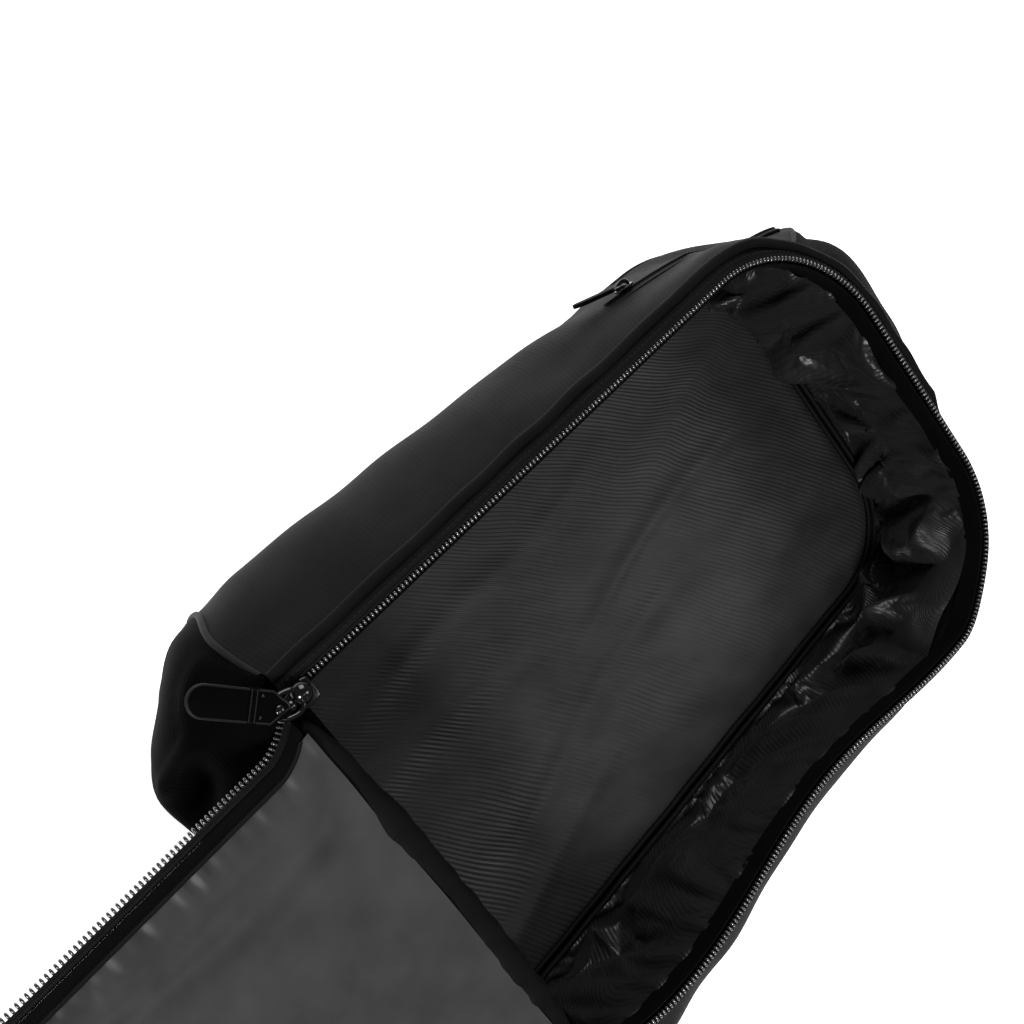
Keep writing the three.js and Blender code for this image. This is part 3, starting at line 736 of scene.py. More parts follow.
def rim_point(x, y, radius):
    """The point of the zip's U at this radius that lies the same way from the middle as (x, y)."""
    line, out, _ = u_line(BODY_TRIM_START, CORNER_Y, 1.0)
    rim = line + out * radius
    angle = np.arctan2(rim[:, 1] - ARC_CENTRE_Y, rim[:, 0])
    order = np.argsort(angle)
    want = np.arctan2(y - ARC_CENTRE_Y, x)
    found = [np.interp(want, angle[order], rim[order, k], period=2 * math.pi) for k in (0, 1)]
    return found[0], np.maximum(found[1], BODY_TRIM_START)


def tuck(grid):
    """On the right side the wall's top edge hangs in, under the strip beyond the zip."""
    x, y, z = grid[..., 0], grid[..., 1], grid[..., 2]
    rim_x, rim_y = rim_point(x, y, 76.0)
    side = np.maximum(smooth(-20, 60, x) * smooth(-200, -170, y), 0.5 * smooth(140, 190, y))
    share = side * smooth(80, 106, z)
    drop = 8 * side * smooth(94, 112, z)
    return stack(x + (rim_x - x) * share, y + (rim_y - y) * share, z - drop)


def lip(grid):
    """The near wall's top edge turns in under the sliders."""
    turned = [(2, 108.6), (5, 106.2), (9, 104.4), (14, 103)]
    rows = [stack(grid[-1, :, 0], grid[-1, :, 1] + inward, z) for inward, z in turned]
    return np.concatenate([grid, rows])


def build_walls():
    walls = [
        ("left", 0, FAR_LEFT_SEAM, WALL_TOP, left_folds, SHELL),
        # The two end walls take the darker copy of the shell cloth, which paints their shade.
        ("far_end", FAR_LEFT_SEAM, FAR_RIGHT_SEAM, WALL_TOP, far_folds, SHELL_PAINTED_SHADE),
        ("right", FAR_RIGHT_SEAM, NEAR_RIGHT_SEAM, WALL_TOP, right_folds, SHELL),
        ("near_end", NEAR_RIGHT_SEAM, NEAR_LEFT_SEAM, NEAR_WALL_TOP, near_folds, SHELL_PAINTED_SHADE),
    ]
    for name, first, last, top, folds, finish in walls:
        heights = np.linspace(SHELL_BOTTOM, top, 62)
        grid, place = body_grid(first + 0.02, last - 0.02, heights, pitch=2.0)
        out = outward(grid)
        ends = smooth(0, 0.5, np.minimum(place - first, last - place))
        offset = wall_swell(grid, place, first, last) + folds(grid, place) * ends
        grid = sway(tuck(grid + out * offset[..., None]))
        if name == "near_end":
            grid = lip(grid)
        obj = cloth(f"{name}_wall_cloth", grid, finish, WALL)
        part(obj, "bag_body", "shell_cloth", f"{name}_wall")
        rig.padded(obj, 0.3)


def build_corner_pipings():
    seams = {
        "near_left": NEAR_LEFT_SEAM,
        "near_right": NEAR_RIGHT_SEAM,
        "far_left": FAR_LEFT_SEAM,
        "far_right": FAR_RIGHT_SEAM,
    }
    heights = np.linspace(110, 5, 40)
    for name, place in seams.items():
        path = sway(tuck(stack(*around(place, heights, -0.6), heights)))
        obj = sweep(f"{name}_corner_welt", path, circle(1.9), TRIM)
        part(obj, "bag_body", "trim_cloth", f"{name}_piping")


# ---- The U of the zipped opening ----
def u_line(start, corner_y, pitch=2.0):
    """The U's middle line, its level outward directions and its run, from left to right."""
    quarter = math.pi / 2 * BODY_COIL_R
    straight = corner_y - start
    total = 2 * straight + 2 * quarter + 2 * CORNER_X
    run = np.linspace(0, total, int(total / pitch))
    stops = np.cumsum([straight, quarter, 2 * CORNER_X, quarter])
    angle = np.pi - np.pi / 2 * np.clip((run - stops[0]) / quarter, 0, 1)
    angle -= np.pi / 2 * np.clip((run - stops[2]) / quarter, 0, 1)
    out = stack(np.cos(angle), np.sin(angle), 0)
    x = -CORNER_X + np.clip(run - stops[1], 0, 2 * CORNER_X)
    y = np.minimum(start + run, corner_y)
    y = np.minimum(y, corner_y - np.clip(run - stops[3], 0, straight))
    return stack(x, y, 0), out, run


def body_u(radius, height, start=BODY_TRIM_START, pitch=2.0):
    """A line round the U. On the right side, what lies beyond the zip hangs nearly straight."""
    line, out, run = u_line(start, CORNER_Y, pitch)
    share = np.maximum(smooth(-12, 40, line[:, 0]), 0.45 * smooth(0.1, 0.8, out[:, 1]))
    beyond = np.maximum(radius - 73.6, 0) * share
    radius = radius - 0.88 * beyond
    height = height - 1.05 * beyond
    return sway(line + out * radius[:, None] + stack(0, 0, height)), out, run


def build_rim():
    base, out, _ = body_u(0, ZIP_Z)
    jitter = noise(base + out * 72, 34, 41)

    def band(name, profile, finish, slot, *nodes):
        """profile gives (radius, height) points across the band."""
        rows = [body_u(r, z + lift * jitter)[0] for r, z, lift in profile]
        obj = cloth(name, np.stack(rows), finish, 0.8)
        return part(obj, "bag_body", slot, *nodes)

    strip = [(74.4, 113.6, 0), (76, 113.9, 0.1), (78, 113.7, 0.2)]
    strip += [(80, 112.9, 0.2), (81.6, 111.6, 0)]
    band("rim_border_cloth", strip, TRIM, "shell_cloth", "rim_border")
    tape = [(69.8, 112.6, 0), (70.6, 108, 0.3), (71.2, 103, 0.5), (71.4, 98, 0.6)]
    band("rim_inner_tape", tape, TAPE, "zip_tape", "body_zip_tape")
    path, _, _ = body_u(83.4 + 0.5 * jitter, 115.0 + 0.5 * jitter)
    welt = sweep("rim_welt", path, circle(2.7, 12, 0.85), SHELL)
    part(welt, "bag_body", "trim_cloth", "rim_piping")
    seam, _, _ = body_u(77.2, 114.15, BODY_TRIM_START + 4)
    part(stitches("rim_stitching", seam, THREAD), "bag_body", "trim_cloth")


def chain(name, path, out, reach, finish=COIL):
    """One half of a zip chain: rounded bars that reach this far either side of the path."""
    points, along = spaced(path, TOOTH_PITCH)
    position = np.linspace(0, 1, len(path))
    to = np.linspace(0, 1, len(points))
    side = unit(np.stack([np.interp(to, position, column) for column in out.T], axis=-1))
    side = unit(side - along * np.sum(side * along, axis=-1, keepdims=True))
    up = np.cross(along, side)
    up *= np.sign(up[:, 2:3])
    return beads(name, points, along, side, up, (0.74, reach, 1.3), finish)


def build_body_chain():
    path, out, _ = body_u(BODY_COIL_R, ZIP_Z, BODY_CHAIN_START, 1.0)
    teeth = chain("body_zip_teeth", path, out, 1.5)
    part(teeth, "bag_body", "zip_coil", "body_zip_coil")
    cord, _, _ = body_u(BODY_COIL_R + 2.1, ZIP_Z - 0.3, BODY_CHAIN_START)
    bead = sweep("body_zip_cord", cord, circle(0.9, 8), TRIM)
    part(bead, "bag_body", "zip_tape")


# ---- Inside ----
def floor_height(x, y):
    """The padded floor: long soft folds run along it and fade in and out."""
    folds = 0.0
    ridges = ((-68, 6, 1.1), (-36, 8, 1.7), (0, 6, 1.3), (34, 9, -1.6), (66, 7, 1.4))
    for across, width, depth in ridges:
        ridge = x + 0.14 * y - across + 8 * np.sin(y / 47 + across / 30)
        fade = smooth(-0.9, 0.6, np.sin(y / 61 + across / 17))
        folds = folds + depth * hill(0, width, ridge) * fade
    return folds + 0.8 * noise(stack(x, y, 0), 120, 51)


def floor_outline(count=264, inset=FLOOR_INSET):
    place = np.linspace(0, PLACES, count, endpoint=False)
    x, y = around(place, 0.0, inset)
    return np.stack([x, y], axis=-1)


def build_floor():
    """A pad of rings that shrink to the middle, so its edge is exact and its top is one surface."""
    edge = floor_outline()
    shares = np.concatenate([[1.0, 0.995, 0.985], np.linspace(0.97, 0.0, 80)])
    ring = shares[:, None, None] * edge[None]
    x, y = ring[..., 0], ring[..., 1]
    in_by = (1 - shares)[:, None] * 100
    top = FLOOR_TOP - 2.6 * (1 - smooth(0, 4, in_by)) + floor_height(x, y) * smooth(0, 12, in_by)
    grid = stack(x, y, top)
    drop = stack(edge[:, 0], edge[:, 1], 2.2)[None]
    grid = np.concatenate([drop, grid])
    slope = 0.85 * grid[..., 0] - 0.00155 * grid[..., 0] ** 2
    wander = 0.8 * noise(grid * (1, 1, 0), 55, 61)
    kink = -5 * hill(0, 13, grid[..., 0] + 52 + 0.35 * (grid[..., 1] - 120))
    kink = kink * smooth(20, 120, grid[..., 1])
    uv = np.stack([grid[..., 0], (grid[..., 1] - slope) * 0.78 + wander + kink], axis=-1)
    rows, cols = grid.shape[:2]
    faces = grid_faces(rows, cols, True) + [list(range(cols))]
    obj = add_mesh("floor_pad", grid, faces, FLOOR, uv)
    part(obj, "bag_body", "floor_cloth", "back_foam", "floor_lining")
    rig.padded(obj, 0.5)


def build_floor_binding():
    for name, inset, height, radius in (("outer", 19.4, 11.6, 1.7), ("inner", 24.6, 12.2, 1.5)):
        place = np.linspace(0, PLACES, 360, endpoint=False)
        wobble = noise(stack(*around(place, 0.0, 20), 0), 40, 71)
        x, y = around(place, 0.0, inset + 0.5 * wobble)
        path = stack(x, y, height + 0.5 * wobble)
        obj = sweep(f"floor_binding_{name}", path, circle(radius, 8, 1.2), TRIM, closed=True)
        part(obj, "bag_body", "trim_cloth", *(["floor_binding"] if name == "outer" else []))


def lining_top(place):
    """The lining's upper edge: under the zip tape, and under the hinge at the near end."""
    return rim_point(*around(place, 112.0), 71.6)


def lining_start():
    """The lining before it settles: from the zip tape, out to the walls, and to the floor."""
    sample = np.linspace(0, PLACES, 1200)
    x, y = around(sample, 60.0)
    run = np.concatenate([[0], np.cumsum(np.hypot(np.diff(x), np.diff(y)))])
    count = int(run[-1] / 3.2)
    place = np.interp(np.arange(count) / count * run[-1], run, sample)
    tx, ty = lining_top(place)
    bx, by = around(place, 0.0, FLOOR_INSET - 4)
    rows = []
    for share in np.linspace(0, 1, 44):
        z = 100 + (11.5 - 100) * share
        wx, wy = around(place, z, 8.0)
        pull = smooth(0, 0.30, share) * (1 - smooth(0.72, 1, share))
        edge_x = tx + (bx - tx) * smooth(0, 1, share)
        edge_y = ty + (by - ty) * smooth(0, 1, share)
        rows.append(stack(edge_x + (wx - edge_x) * pull, edge_y + (wy - edge_y) * pull, z))
    return sway(np.stack(rows)), run[-1] * np.arange(count) / count


def near_hollows(place, z):
    """How far the near end's dents and hollows reach in from its outline."""
    hollow = 15 * (hill(38, 1.5, place) + hill(34, 1.5, place)) * hill(62, 26, z)
    return hollow + 11 * (hill(41, 1.5, place) + hill(31, 1.5, place)) * hill(34, 34, z)


def keep_inside(points):
    """Moves points in from the outer walls and up from the floor."""
    x, y, z = points[..., 0], points[..., 1], np.clip(points[..., 2], 2, WALL_TOP)
    steps, levels = 720, 28
    place = np.linspace(0, PLACES, steps, endpoint=False)
    turn = np.linspace(-math.pi, math.pi, steps + 1)
    reach = []
    for level in np.linspace(0, WALL_TOP, levels + 1):
        wall_x, wall_y = around(place, level, LINING_CLEAR + near_hollows(place, level))
        angle = np.arctan2(wall_y, wall_x)
        order = np.argsort(angle)
        far = np.hypot(wall_x, wall_y)[order]
        reach.append(np.interp(turn, angle[order], far, period=2 * math.pi))
    reach = np.array(reach)
    col = (np.arctan2(y, x) + math.pi) / (2 * math.pi) * steps
    row = z / WALL_TOP * levels
    c0 = np.clip(col.astype(int), 0, steps - 1)
    r0 = np.clip(row.astype(int), 0, levels - 1)
    fc, fr = col - c0, row - r0
    low = reach[r0, c0] * (1 - fc) + reach[r0, c0 + 1] * fc
    high = reach[r0 + 1, c0] * (1 - fc) + reach[r0 + 1, c0 + 1] * fc
    limit = low * (1 - fr) + high * fr
    now = np.hypot(x, y)
    shrink = np.minimum(1, limit / np.maximum(now, 1e-6))
    moved = points.copy()
    moved[..., 0] *= shrink
    moved[..., 1] *= shrink
    moved[..., 2] = np.maximum(moved[..., 2], 10.5)
    return moved


def pleats(grid, run):
    """Gathers below the zip tape and big loose folds at the far end, before the cloth settles."""
    share = np.linspace(0, 1, len(grid))[:, None]
    inward = unit(-grid * (1, 1, 0) + np.array([0, 40, 0]) * np.sign(grid[..., 1:2]))
    end = smooth(70, 190, grid[..., 1])
    gather = np.sin(run / 5.2 + 3 * np.sin(run / 31)) * hill(0.10, 0.12, share) * (0.8 + 1.6 * end)
    loose = 17 * noise(grid * (1, 1, 1.5), 58, 81) * hill(0.5, 0.34, share) * (0.2 + end)
    return grid + inward * (gather + loose)[..., None]


def settle(grid, pinned, growth):
    """Lets a looped grid of cloth hang under gravity from its pinned rows, and returns it."""
    rows, cols = grid.shape[:2]
    mesh = bpy.data.meshes.new("settling")
    mesh.from_pydata((grid.reshape(-1, 3) / 1000).tolist(), [], grid_faces(rows, cols, True))
    obj = bpy.data.objects.new("settling", mesh)
    bpy.context.scene.collection.objects.link(obj)
    pins = obj.vertex_groups.new(name="pins")
    pins.add([r * cols + c for r in pinned for c in range(cols)], 1.0, "REPLACE")
    settings = obj.modifiers.new("cloth", "CLOTH").settings
    settings.vertex_group_mass = "pins"
    settings.quality = 6
    settings.mass = 0.12
    settings.tension_stiffness = 12
    settings.compression_stiffness = 12
    settings.shear_stiffness = 4
    settings.bending_stiffness = 0.3
    settings.air_damping = 3
    settings.shrink_min = -growth
    scene = bpy.context.scene
    scene.frame_start, scene.frame_end = 1, SETTLE_FRAMES
    obj.modifiers["cloth"].point_cache.frame_end = SETTLE_FRAMES
    for step in range(1, SETTLE_FRAMES + 1):
        scene.frame_set(step)
    shaped = obj.evaluated_get(bpy.context.evaluated_depsgraph_get())
    out = np.array([v.co for v in shaped.data.vertices]).reshape(grid.shape) * 1000
    scene.frame_set(1)
    bpy.data.objects.remove(obj)
    bpy.data.meshes.remove(mesh)
    return out


def finer(grid, run):
    """Twice as many rows and columns of a looped grid, on smooth curves through the old ones."""
    between = (9 * (grid + np.roll(grid, -1, 1)) - np.roll(grid, 1, 1) - np.roll(grid, -2, 1)) / 16
    wide = np.stack([grid, between], axis=2).reshape(len(grid), -1, 3)
    step = (run[1] - run[0]) / 2
    padded = np.concatenate([wide[:1], wide, wide[-1:]])
    middle = (9 * (padded[1:-2] + padded[2:-1]) - padded[:-3] - padded[3:]) / 16
    rows = [wide[0]]
    for k in range(len(middle)):
        rows += [middle[k], wide[k + 1]]
    return np.stack(rows), np.arange(wide.shape[1]) * step


def build_wall_lining():
    grid, run = lining_start()
    girth = run[-1] + (run[1] - run[0])
    grid = keep_inside(pleats(grid, run))
    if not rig.quick():
        grid = keep_inside(settle(grid, (0, len(grid) - 1), 0.05))
    grid, run = finer(grid, run)
    v = np.linspace(0, LINING_FLAT_HEIGHT, len(grid))[:, None]
    wander = 1.5 * noise(grid, 50, 91)
    uv = np.stack([run[None, :] + 0.35 * v + wander, v + 0 * run[None, :]], axis=-1)
    obj = cloth("wall_lining", grid, LINING, 0.5, uv, loop=True)
    nodes = [f"{side}_lining" for side in ("left", "right", "far_end", "near_end")]
    part(obj, "bag_body", "lining_cloth", *nodes)
    flat = (girth / 1000, LINING_FLAT_HEIGHT / 1000)
    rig.sheet(obj, flat, "gathered", ["rim_inner_tape", "floor_pad"])
    level = int(len(grid) * 0.52)
    seam = grid[level] + grid_normals(grid, True)[level] * 0.3
    low = sweep("lining_seam", seam, circle(0.9, 6), TRIM, closed=True)
    part(low, "bag_body", "trim_cloth")


def build_pocket_bag():
    grid, _ = body_grid(*POCKET_PLACES, np.linspace(26, 76, 20), 3.4)
    obj = cloth("side_pocket_pouch", grid, LINING, 0.5)
    part(obj, "bag_body", "lining_cloth", "side_pocket_bag")
    size = grid_uv(grid)[-1, -1] / 1000
    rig.sheet(obj, tuple(size), "hung", ["left_wall_cloth"])


# ---- Underside ----
def build_back():
    edge = floor_outline(264, 0.0)
    shares = np.linspace(1, 0, 30)
    rings = shares[:, None, None] * edge[None]
    grid = stack(rings[..., 0], rings[..., 1], 0.05)
    top = grid[:1] + (0, 0, 1.6)
    grid = np.concatenate([top * (0.9, 0.9, 1), top, grid])
    rows, cols = grid.shape[:2]
    faces = grid_faces(rows, cols, True) + [list(range(cols))]
    obj = add_mesh("back_cloth", grid, faces, SHELL, grid[..., :2])
    part(obj, "bag_body", "shell_cloth", "back_panel")
    place = np.linspace(0, PLACES, 420, endpoint=False)
    x, y = around(place, 3.0, -2.2)
    cord = sweep("back_welt", stack(x, y, 2.4), circle(1.9), TRIM, closed=True)
    part(cord, "bag_body", "trim_cloth", "back_piping")


# ---- Lid ----
def lid_spine(s):
    """The lid seen from its side: y, z and slope angle at each distance from the hinge."""
    fine = np.linspace(-20, 420, 881)
    low, high = LID_FOLD - LID_FOLD_HALF, LID_FOLD + LID_FOLD_HALF
    angle = LID_OPEN + LID_BEND * smooth(low, high, fine)
    step = fine[1] - fine[0]
    y = np.cumsum(np.cos(angle)) * step
    z = np.cumsum(np.sin(angle)) * step
    zero = np.searchsorted(fine, 0)
    y, z = y - y[zero] + HINGE_Y, z - z[zero] + ZIP_Z
    return np.interp(s, fine, y), np.interp(s, fine, z), np.interp(s, fine, angle)


def lid_place(x, s, up):
    """World points of lid coordinates: x across, s from the hinge, up towards the outer cloth."""
    x, s, up = np.broadcast_arrays(x, s, up)
    y, z, angle = lid_spine(s)
    narrow = 1 - 0.065 * smooth(0, 24, s) * (1 - smooth(165, 230, s))
    return stack(x * narrow, y - up * np.sin(angle), z + up * np.cos(angle))


def lid_half_width(s, radius):
    """Half width of a lid layer at distance s."""
    beyond = np.clip(np.asarray(s, float) - LID_CORNER, 0, radius)
    return CORNER_X + np.sqrt(np.maximum(radius**2 - beyond**2, 0))


def lid_blend(obj):
    y, z, _ = lid_spine(np.array([LID_FOLD - LID_FOLD_HALF, LID_FOLD + LID_FOLD_HALF]))
    start, end = ((0, a / 1000, b / 1000) for a, b in zip(y, z))
    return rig.blend(obj, "lid_near", "lid_far", start, end)


def lid_panel(name, radius, start, height, finish, thick, folds=None, pitch=3.0):
    """A lid layer: a grid of cross lines, each as wide as the U is there."""
    end = LID_CORNER + radius
    straight = np.arange(start, LID_CORNER, pitch)
    s = np.concatenate([straight, np.linspace(LID_CORNER, end - 0.02, 40)])
    t = np.linspace(-1, 1, 91)
    t = np.sign(t) * (1 - (1 - np.abs(t)) ** 1.15)
    half = lid_half_width(s, radius)
    x = half[:, None] * t[None, :]
    ss = np.broadcast_to(s[:, None], x.shape)
    up = np.full(x.shape, float(height))
    if folds is not None:
        up = up + folds(x, ss, half[:, None], end)
    grid = lid_place(x, ss, up)
    uv = np.stack([x, ss], axis=-1)
    return cloth(name, grid, finish, thick, uv)


def lid_edge(x, s, half, end):
    """Distance in from the lid's edge."""
    beyond = np.maximum(s - LID_CORNER, 0)
    inner = np.maximum(np.abs(x) - CORNER_X, 0)
    corner = (end - LID_CORNER) - np.hypot(beyond, inner)
    return np.where(s > LID_CORNER, corner, half - np.abs(x))


def lining_folds(x, s, half, end):
    """The lid's inner cloth (negative is up when open): puffed, with puckers at its edge seam."""
    edge = lid_edge(x, s, half, end)
    puff = -3.2 * smooth(0, 26, edge) * smooth(-12, 34, s)
    along = np.where(s > LID_CORNER, s + x, s)
    pucker = np.sin(along / 2.6 + 2.2 * np.sin(along / 13)) + 0.6 * np.sin(along / 1.45 + 1.3)
    pucker *= -0.75 * hill(5, 6, edge)
    long_folds = -2.4 * hill(0, 9, edge - 22 - 12 * np.sin(s / 40)) * smooth(10, 40, s)
    points = stack(x, s, 0)
    soft = -1.5 * noise(points, 85, 101) * smooth(6, 40, edge)
    crease = 1.3 * hill(0, 5, edge - 13 - 0.09 * s) * smooth(30, 70, s)
    return puff + pucker + long_folds + soft + crease


def outer_folds(x, s, half, end):
    """The lid's outer cloth: a low crown with soft waves."""
    edge = lid_edge(x, s, half, end)
    waves = 0.8 * noise(stack(x, s, 0), 90, 111) * smooth(4, 30, edge)
    return 1.6 * smooth(0, 20, edge) - 0.5 + waves


def lid_u(radius, up, start, pitch=2.0):
    line, out, run = u_line(start, LID_CORNER, pitch)
    points = line + out * np.broadcast_to(radius, run.shape)[:, None]
    x, s = points[:, 0], points[:, 1]
    turn = np.sign(x) * 3.0 * (1 - smooth(0, 12, s))
    here = lid_place(x + turn, s, up)
    there = lid_place(x + turn + out[:, 0], s + out[:, 1], up)
    return here, unit(there - here), run


def build_lid():
    radius = LID_PANEL_R + 1
    # The inner cloth takes the lighter copy of the lining, which paints the light on the open lid.
    lining = lid_panel("lid_inner_cloth", radius, 1, -1.4, LID_LINING_PAINTED_LIGHT, 0.6, lining_folds, 1.6)
    part(lining, None, "lining_cloth", "lid_lining_near", "lid_lining_far")
    length = LID_CORNER + LID_PANEL_R - 3
    width = 2 * (CORNER_X + radius)
    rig.sheet(lining, (width / 1000, length / 1000), "stretched", ["lid_pad"])
    lid_blend(lining)
    pad = lid_panel("lid_pad", LID_PANEL_R - 2, 8, 3.3, FOAM, 3.6)
    part(pad, None, "foam", "lid_foam_near", "lid_foam_far")
    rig.padded(pad, 0.4)
    lid_blend(pad)
    shell = lid_panel("lid_outer_cloth", radius, 6, 4.4, SHELL, 0.9, outer_folds)
    part(shell, None, "shell_cloth", "lid_outer_near", "lid_outer_far")
    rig.sheet(shell, (width / 1000, length / 1000), "stretched", ["lid_pad"])
    lid_blend(shell)


def build_lid_edges():
    def names(kind):
        return [f"lid_{kind}_{side}" for side in ("left", "right", "far")]

    def band(name, profile, finish, slot, *nodes):
        rows = [lid_u(radius, up, start)[0] for radius, up, start in profile]
        obj = cloth(name, np.stack(rows), finish, 0.7)
        part(obj, None, slot, *nodes)
        return lid_blend(obj)

    border = [(53.0, -1.2, 3), (55, -1.9, 3), (57.4, -1.6, 3), (59.6, -0.9, 3)]
    band("lid_border_cloth", border, TAPE, "shell_cloth", *names("border"))
    tape = [(59.4, 0.4, 3), (61.4, 0.5, 3), (63.4, 0.3, 3)]
    band("lid_tape", tape, TRIM, "zip_tape", *names("zip_tape"))
    path, _, _ = lid_u(54.4, 3.4, 9)
    welt = sweep("lid_welt", path, circle(1.9), TRIM)
    part(welt, None, "trim_cloth", *names("piping"))
    lid_blend(welt)
    path, out, _ = lid_u(LID_COIL_R, 0, 3, 1.0)
    # The lid's teeth take the darker coil copy, which paints their shade.
    teeth = chain("lid_zip_teeth", path, out, 1.9, LID_COIL_PAINTED_SHADE)
    part(teeth, None, "zip_coil", *names("zip_coil"))
    lid_blend(teeth)
    path, _, _ = lid_u(LID_COIL_R - 2.3, 0.2, 5)
    cord = sweep("lid_zip_cord", path, circle(0.9, 8), TRIM)
    part(cord, None, "zip_tape")
    lid_blend(cord)
    path, out, _ = lid_u(53.2, -2.3, 6)
    seam = sweep("lid_edge_seam", path, circle(1.25, 8), TRIM)
    part(seam, None, "trim_cloth")
    lid_blend(seam)


def build_hinge():
    """The cloth that rolls from the bag's near end over the hinge line onto the lid."""
    reach = 105.0
    share = np.sin(np.linspace(-math.pi / 2, math.pi / 2, 150))[None, :]
    x = share * reach
    turn = np.linspace(math.radians(-100), math.radians(150), 22)[:, None]
    wobble = noise(stack(x, 0 * x, 0 * x), 22, 121) + 0.6 * noise(stack(x, 0 * x, 0 * x), 9, 122)
    end = np.sqrt(np.clip(1 - (np.abs(share) ** 14), 0.02, 1))
    middle = np.cos(x / reach * math.pi / 2)
    radius = (6.4 + 0.6 * wobble + 2.2 * middle) * end * (1 - 0.35 * smooth(70, 104, np.abs(x)))
    ruffle = 0.7 * np.sin(x / 2.4) * smooth(80, 100, np.abs(x)) * smooth(0.2, 1.2, turn)
    y = HINGE_Y + 1.5 + 1.5 * middle + (radius + ruffle) * np.cos(turn)
    z = ZIP_Z - 6.0 + (radius + ruffle) * np.sin(turn)
    obj = cloth("hinge_roll", stack(x + 0 * turn, y, z), SHELL, 0.8)
    part(obj, None, "trim_cloth", "hinge_binding", "hinge_gusset")
    start, end = (0, (HINGE_Y + 4) / 1000, 0.114), (0, (HINGE_Y - 12) / 1000, 0.114)
    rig.blend(obj, "bag_body", "lid_near", start, end)


# ---- Sliders and pulls ----
def soft_block(name, outline, low, high, finish, bevel=0.6, segments=3, holes=()):
    """A plate cut to an outline, with rounded edges."""
    shape = bmesh.new()
    ring = [shape.verts.new((x, y, low)) for x, y in outline]
    if holes:
        hole = [shape.verts.new((x, y, low)) for x, y in holes]
        pairs = [
            shape.edges.new((loop[i], loop[(i + 1) % len(loop)]))
            for loop in (ring, hole)
            for i in range(len(loop))
        ]
        bmesh.ops.triangle_fill(shape, edges=pairs, use_beauty=True)
    else:
        shape.faces.new(ring)
    side = bmesh.ops.extrude_face_region(shape, geom=shape.faces[:])
    moved = [v for v in side["geom"] if isinstance(v, bmesh.types.BMVert)]
    bmesh.ops.translate(shape, verts=moved, vec=(0, 0, high - low))
    bmesh.ops.recalc_face_normals(shape, faces=shape.faces)
    edges = [e for e in shape.edges if len(e.link_faces) == 2 and e.calc_face_angle(0) > 0.6]
    bmesh.ops.bevel(shape, geom=edges, offset=bevel, segments=segments, affect="EDGES", profile=0.6)
    bmesh.ops.scale(shape, verts=shape.verts, vec=(0.001,) * 3)
    mesh = bpy.data.meshes.new(name)
    shape.to_mesh(mesh)
    shape.free()
    mesh.polygons.foreach_set("use_smooth", [True] * len(mesh.polygons))
    mesh.set_sharp_from_angle(angle=math.radians(40))
    mesh.materials.append(finish)
    obj = bpy.data.objects.new(name, mesh)
    bpy.context.scene.collection.objects.link(obj)
    return obj


def join(name, *objects):
    """One object from several meshes that stay in place."""
    made = bmesh.new()
    finishes = []
    for obj in objects:
        copy = obj.data.copy()
        copy.transform(obj.matrix_world)
        slot = len(finishes)
        finishes.append(obj.data.materials[0])
        for face in copy.polygons:
            face.material_index = slot
        made.from_mesh(copy)
        bpy.data.meshes.remove(copy)
        bpy.data.objects.remove(obj)
    mesh = bpy.data.meshes.new(name)
    made.to_mesh(mesh)
    made.free()
    for finish in finishes:
        mesh.materials.append(finish)
    out = bpy.data.objects.new(name, mesh)
    bpy.context.scene.collection.objects.link(out)
    return out


def place_piece(obj, at, turn_z=0.0):
    """Turns a piece about its own origin and moves it, in millimetres."""
    obj.data.transform(Matrix.Translation(Vector(at) / 1000) @ Matrix.Rotation(turn_z, 4, "Z"))
    return obj


def dome(radius, height, finish, name="dome"):
    turn = np.arange(24) / 24 * 2 * math.pi
    up = np.linspace(0, math.pi / 2, 8)[:, None]
    ring = radius * np.cos(up)
    grid = stack(ring * np.cos(turn), ring * np.sin(turn), height * np.sin(up))
    rows, cols = grid.shape[:2]
    return add_mesh(name, grid, grid_faces(rows, cols, True) + [list(range(cols))], finish)


def slider_shape(k):
    """A slider's plate outline: wide shoulders, drawn in at its tail. k scales it."""
    side = [(2.2, 8.5), (5.2, 8.0), (6.3, 5.8), (6.4, 2.0)]
    side += [(5.2, -2.5), (4.4, -6.8), (3.0, -8.4)]
    right = [(x * k, y * k) for x, y in side]
    return right + [(-x, y) for x, y in reversed(right)]


def build_slider(side, sign):
    top = soft_block("top", slider_shape(1), 2.8, 4.9, METAL, 0.8)
    bottom = soft_block("bottom", slider_shape(1), -4.9, -3.2, METAL, 0.7)
    neck = soft_block("neck", [(-1.2, 3), (1.2, 3), (0.7, 8.2), (-0.7, 8.2)], -3.4, 3.2, METAL, 0.2)
    cap = place_piece(dome(5.6, 5.2, METAL), (1.4 * sign, 1.6, 4.6))
    foot = place_piece(dome(3.2, 3.0, METAL, "foot"), (0.4 * sign, -5.4, 4.5))
    body = join(f"slider_{side}_body", top, bottom, neck, cap, foot)
    place_piece(body, (sign * SLIDER[0], SLIDER[1], ZIP_Z))
    part(body, f"slider_{side}", "black_metal", f"slider_{side}")


def loop_path(half, reach, count=40):
    """A rounded ring: from its cross bar at the origin to its far bar."""
    turn = np.arange(count) / count * 2 * math.pi
    x = np.sign(np.cos(turn)) * np.abs(np.cos(turn)) ** 0.75 * half
    y = -reach / 2 + np.sign(np.sin(turn)) * np.abs(np.sin(turn)) ** 0.75 * reach / 2
    return stack(x, y, 0)


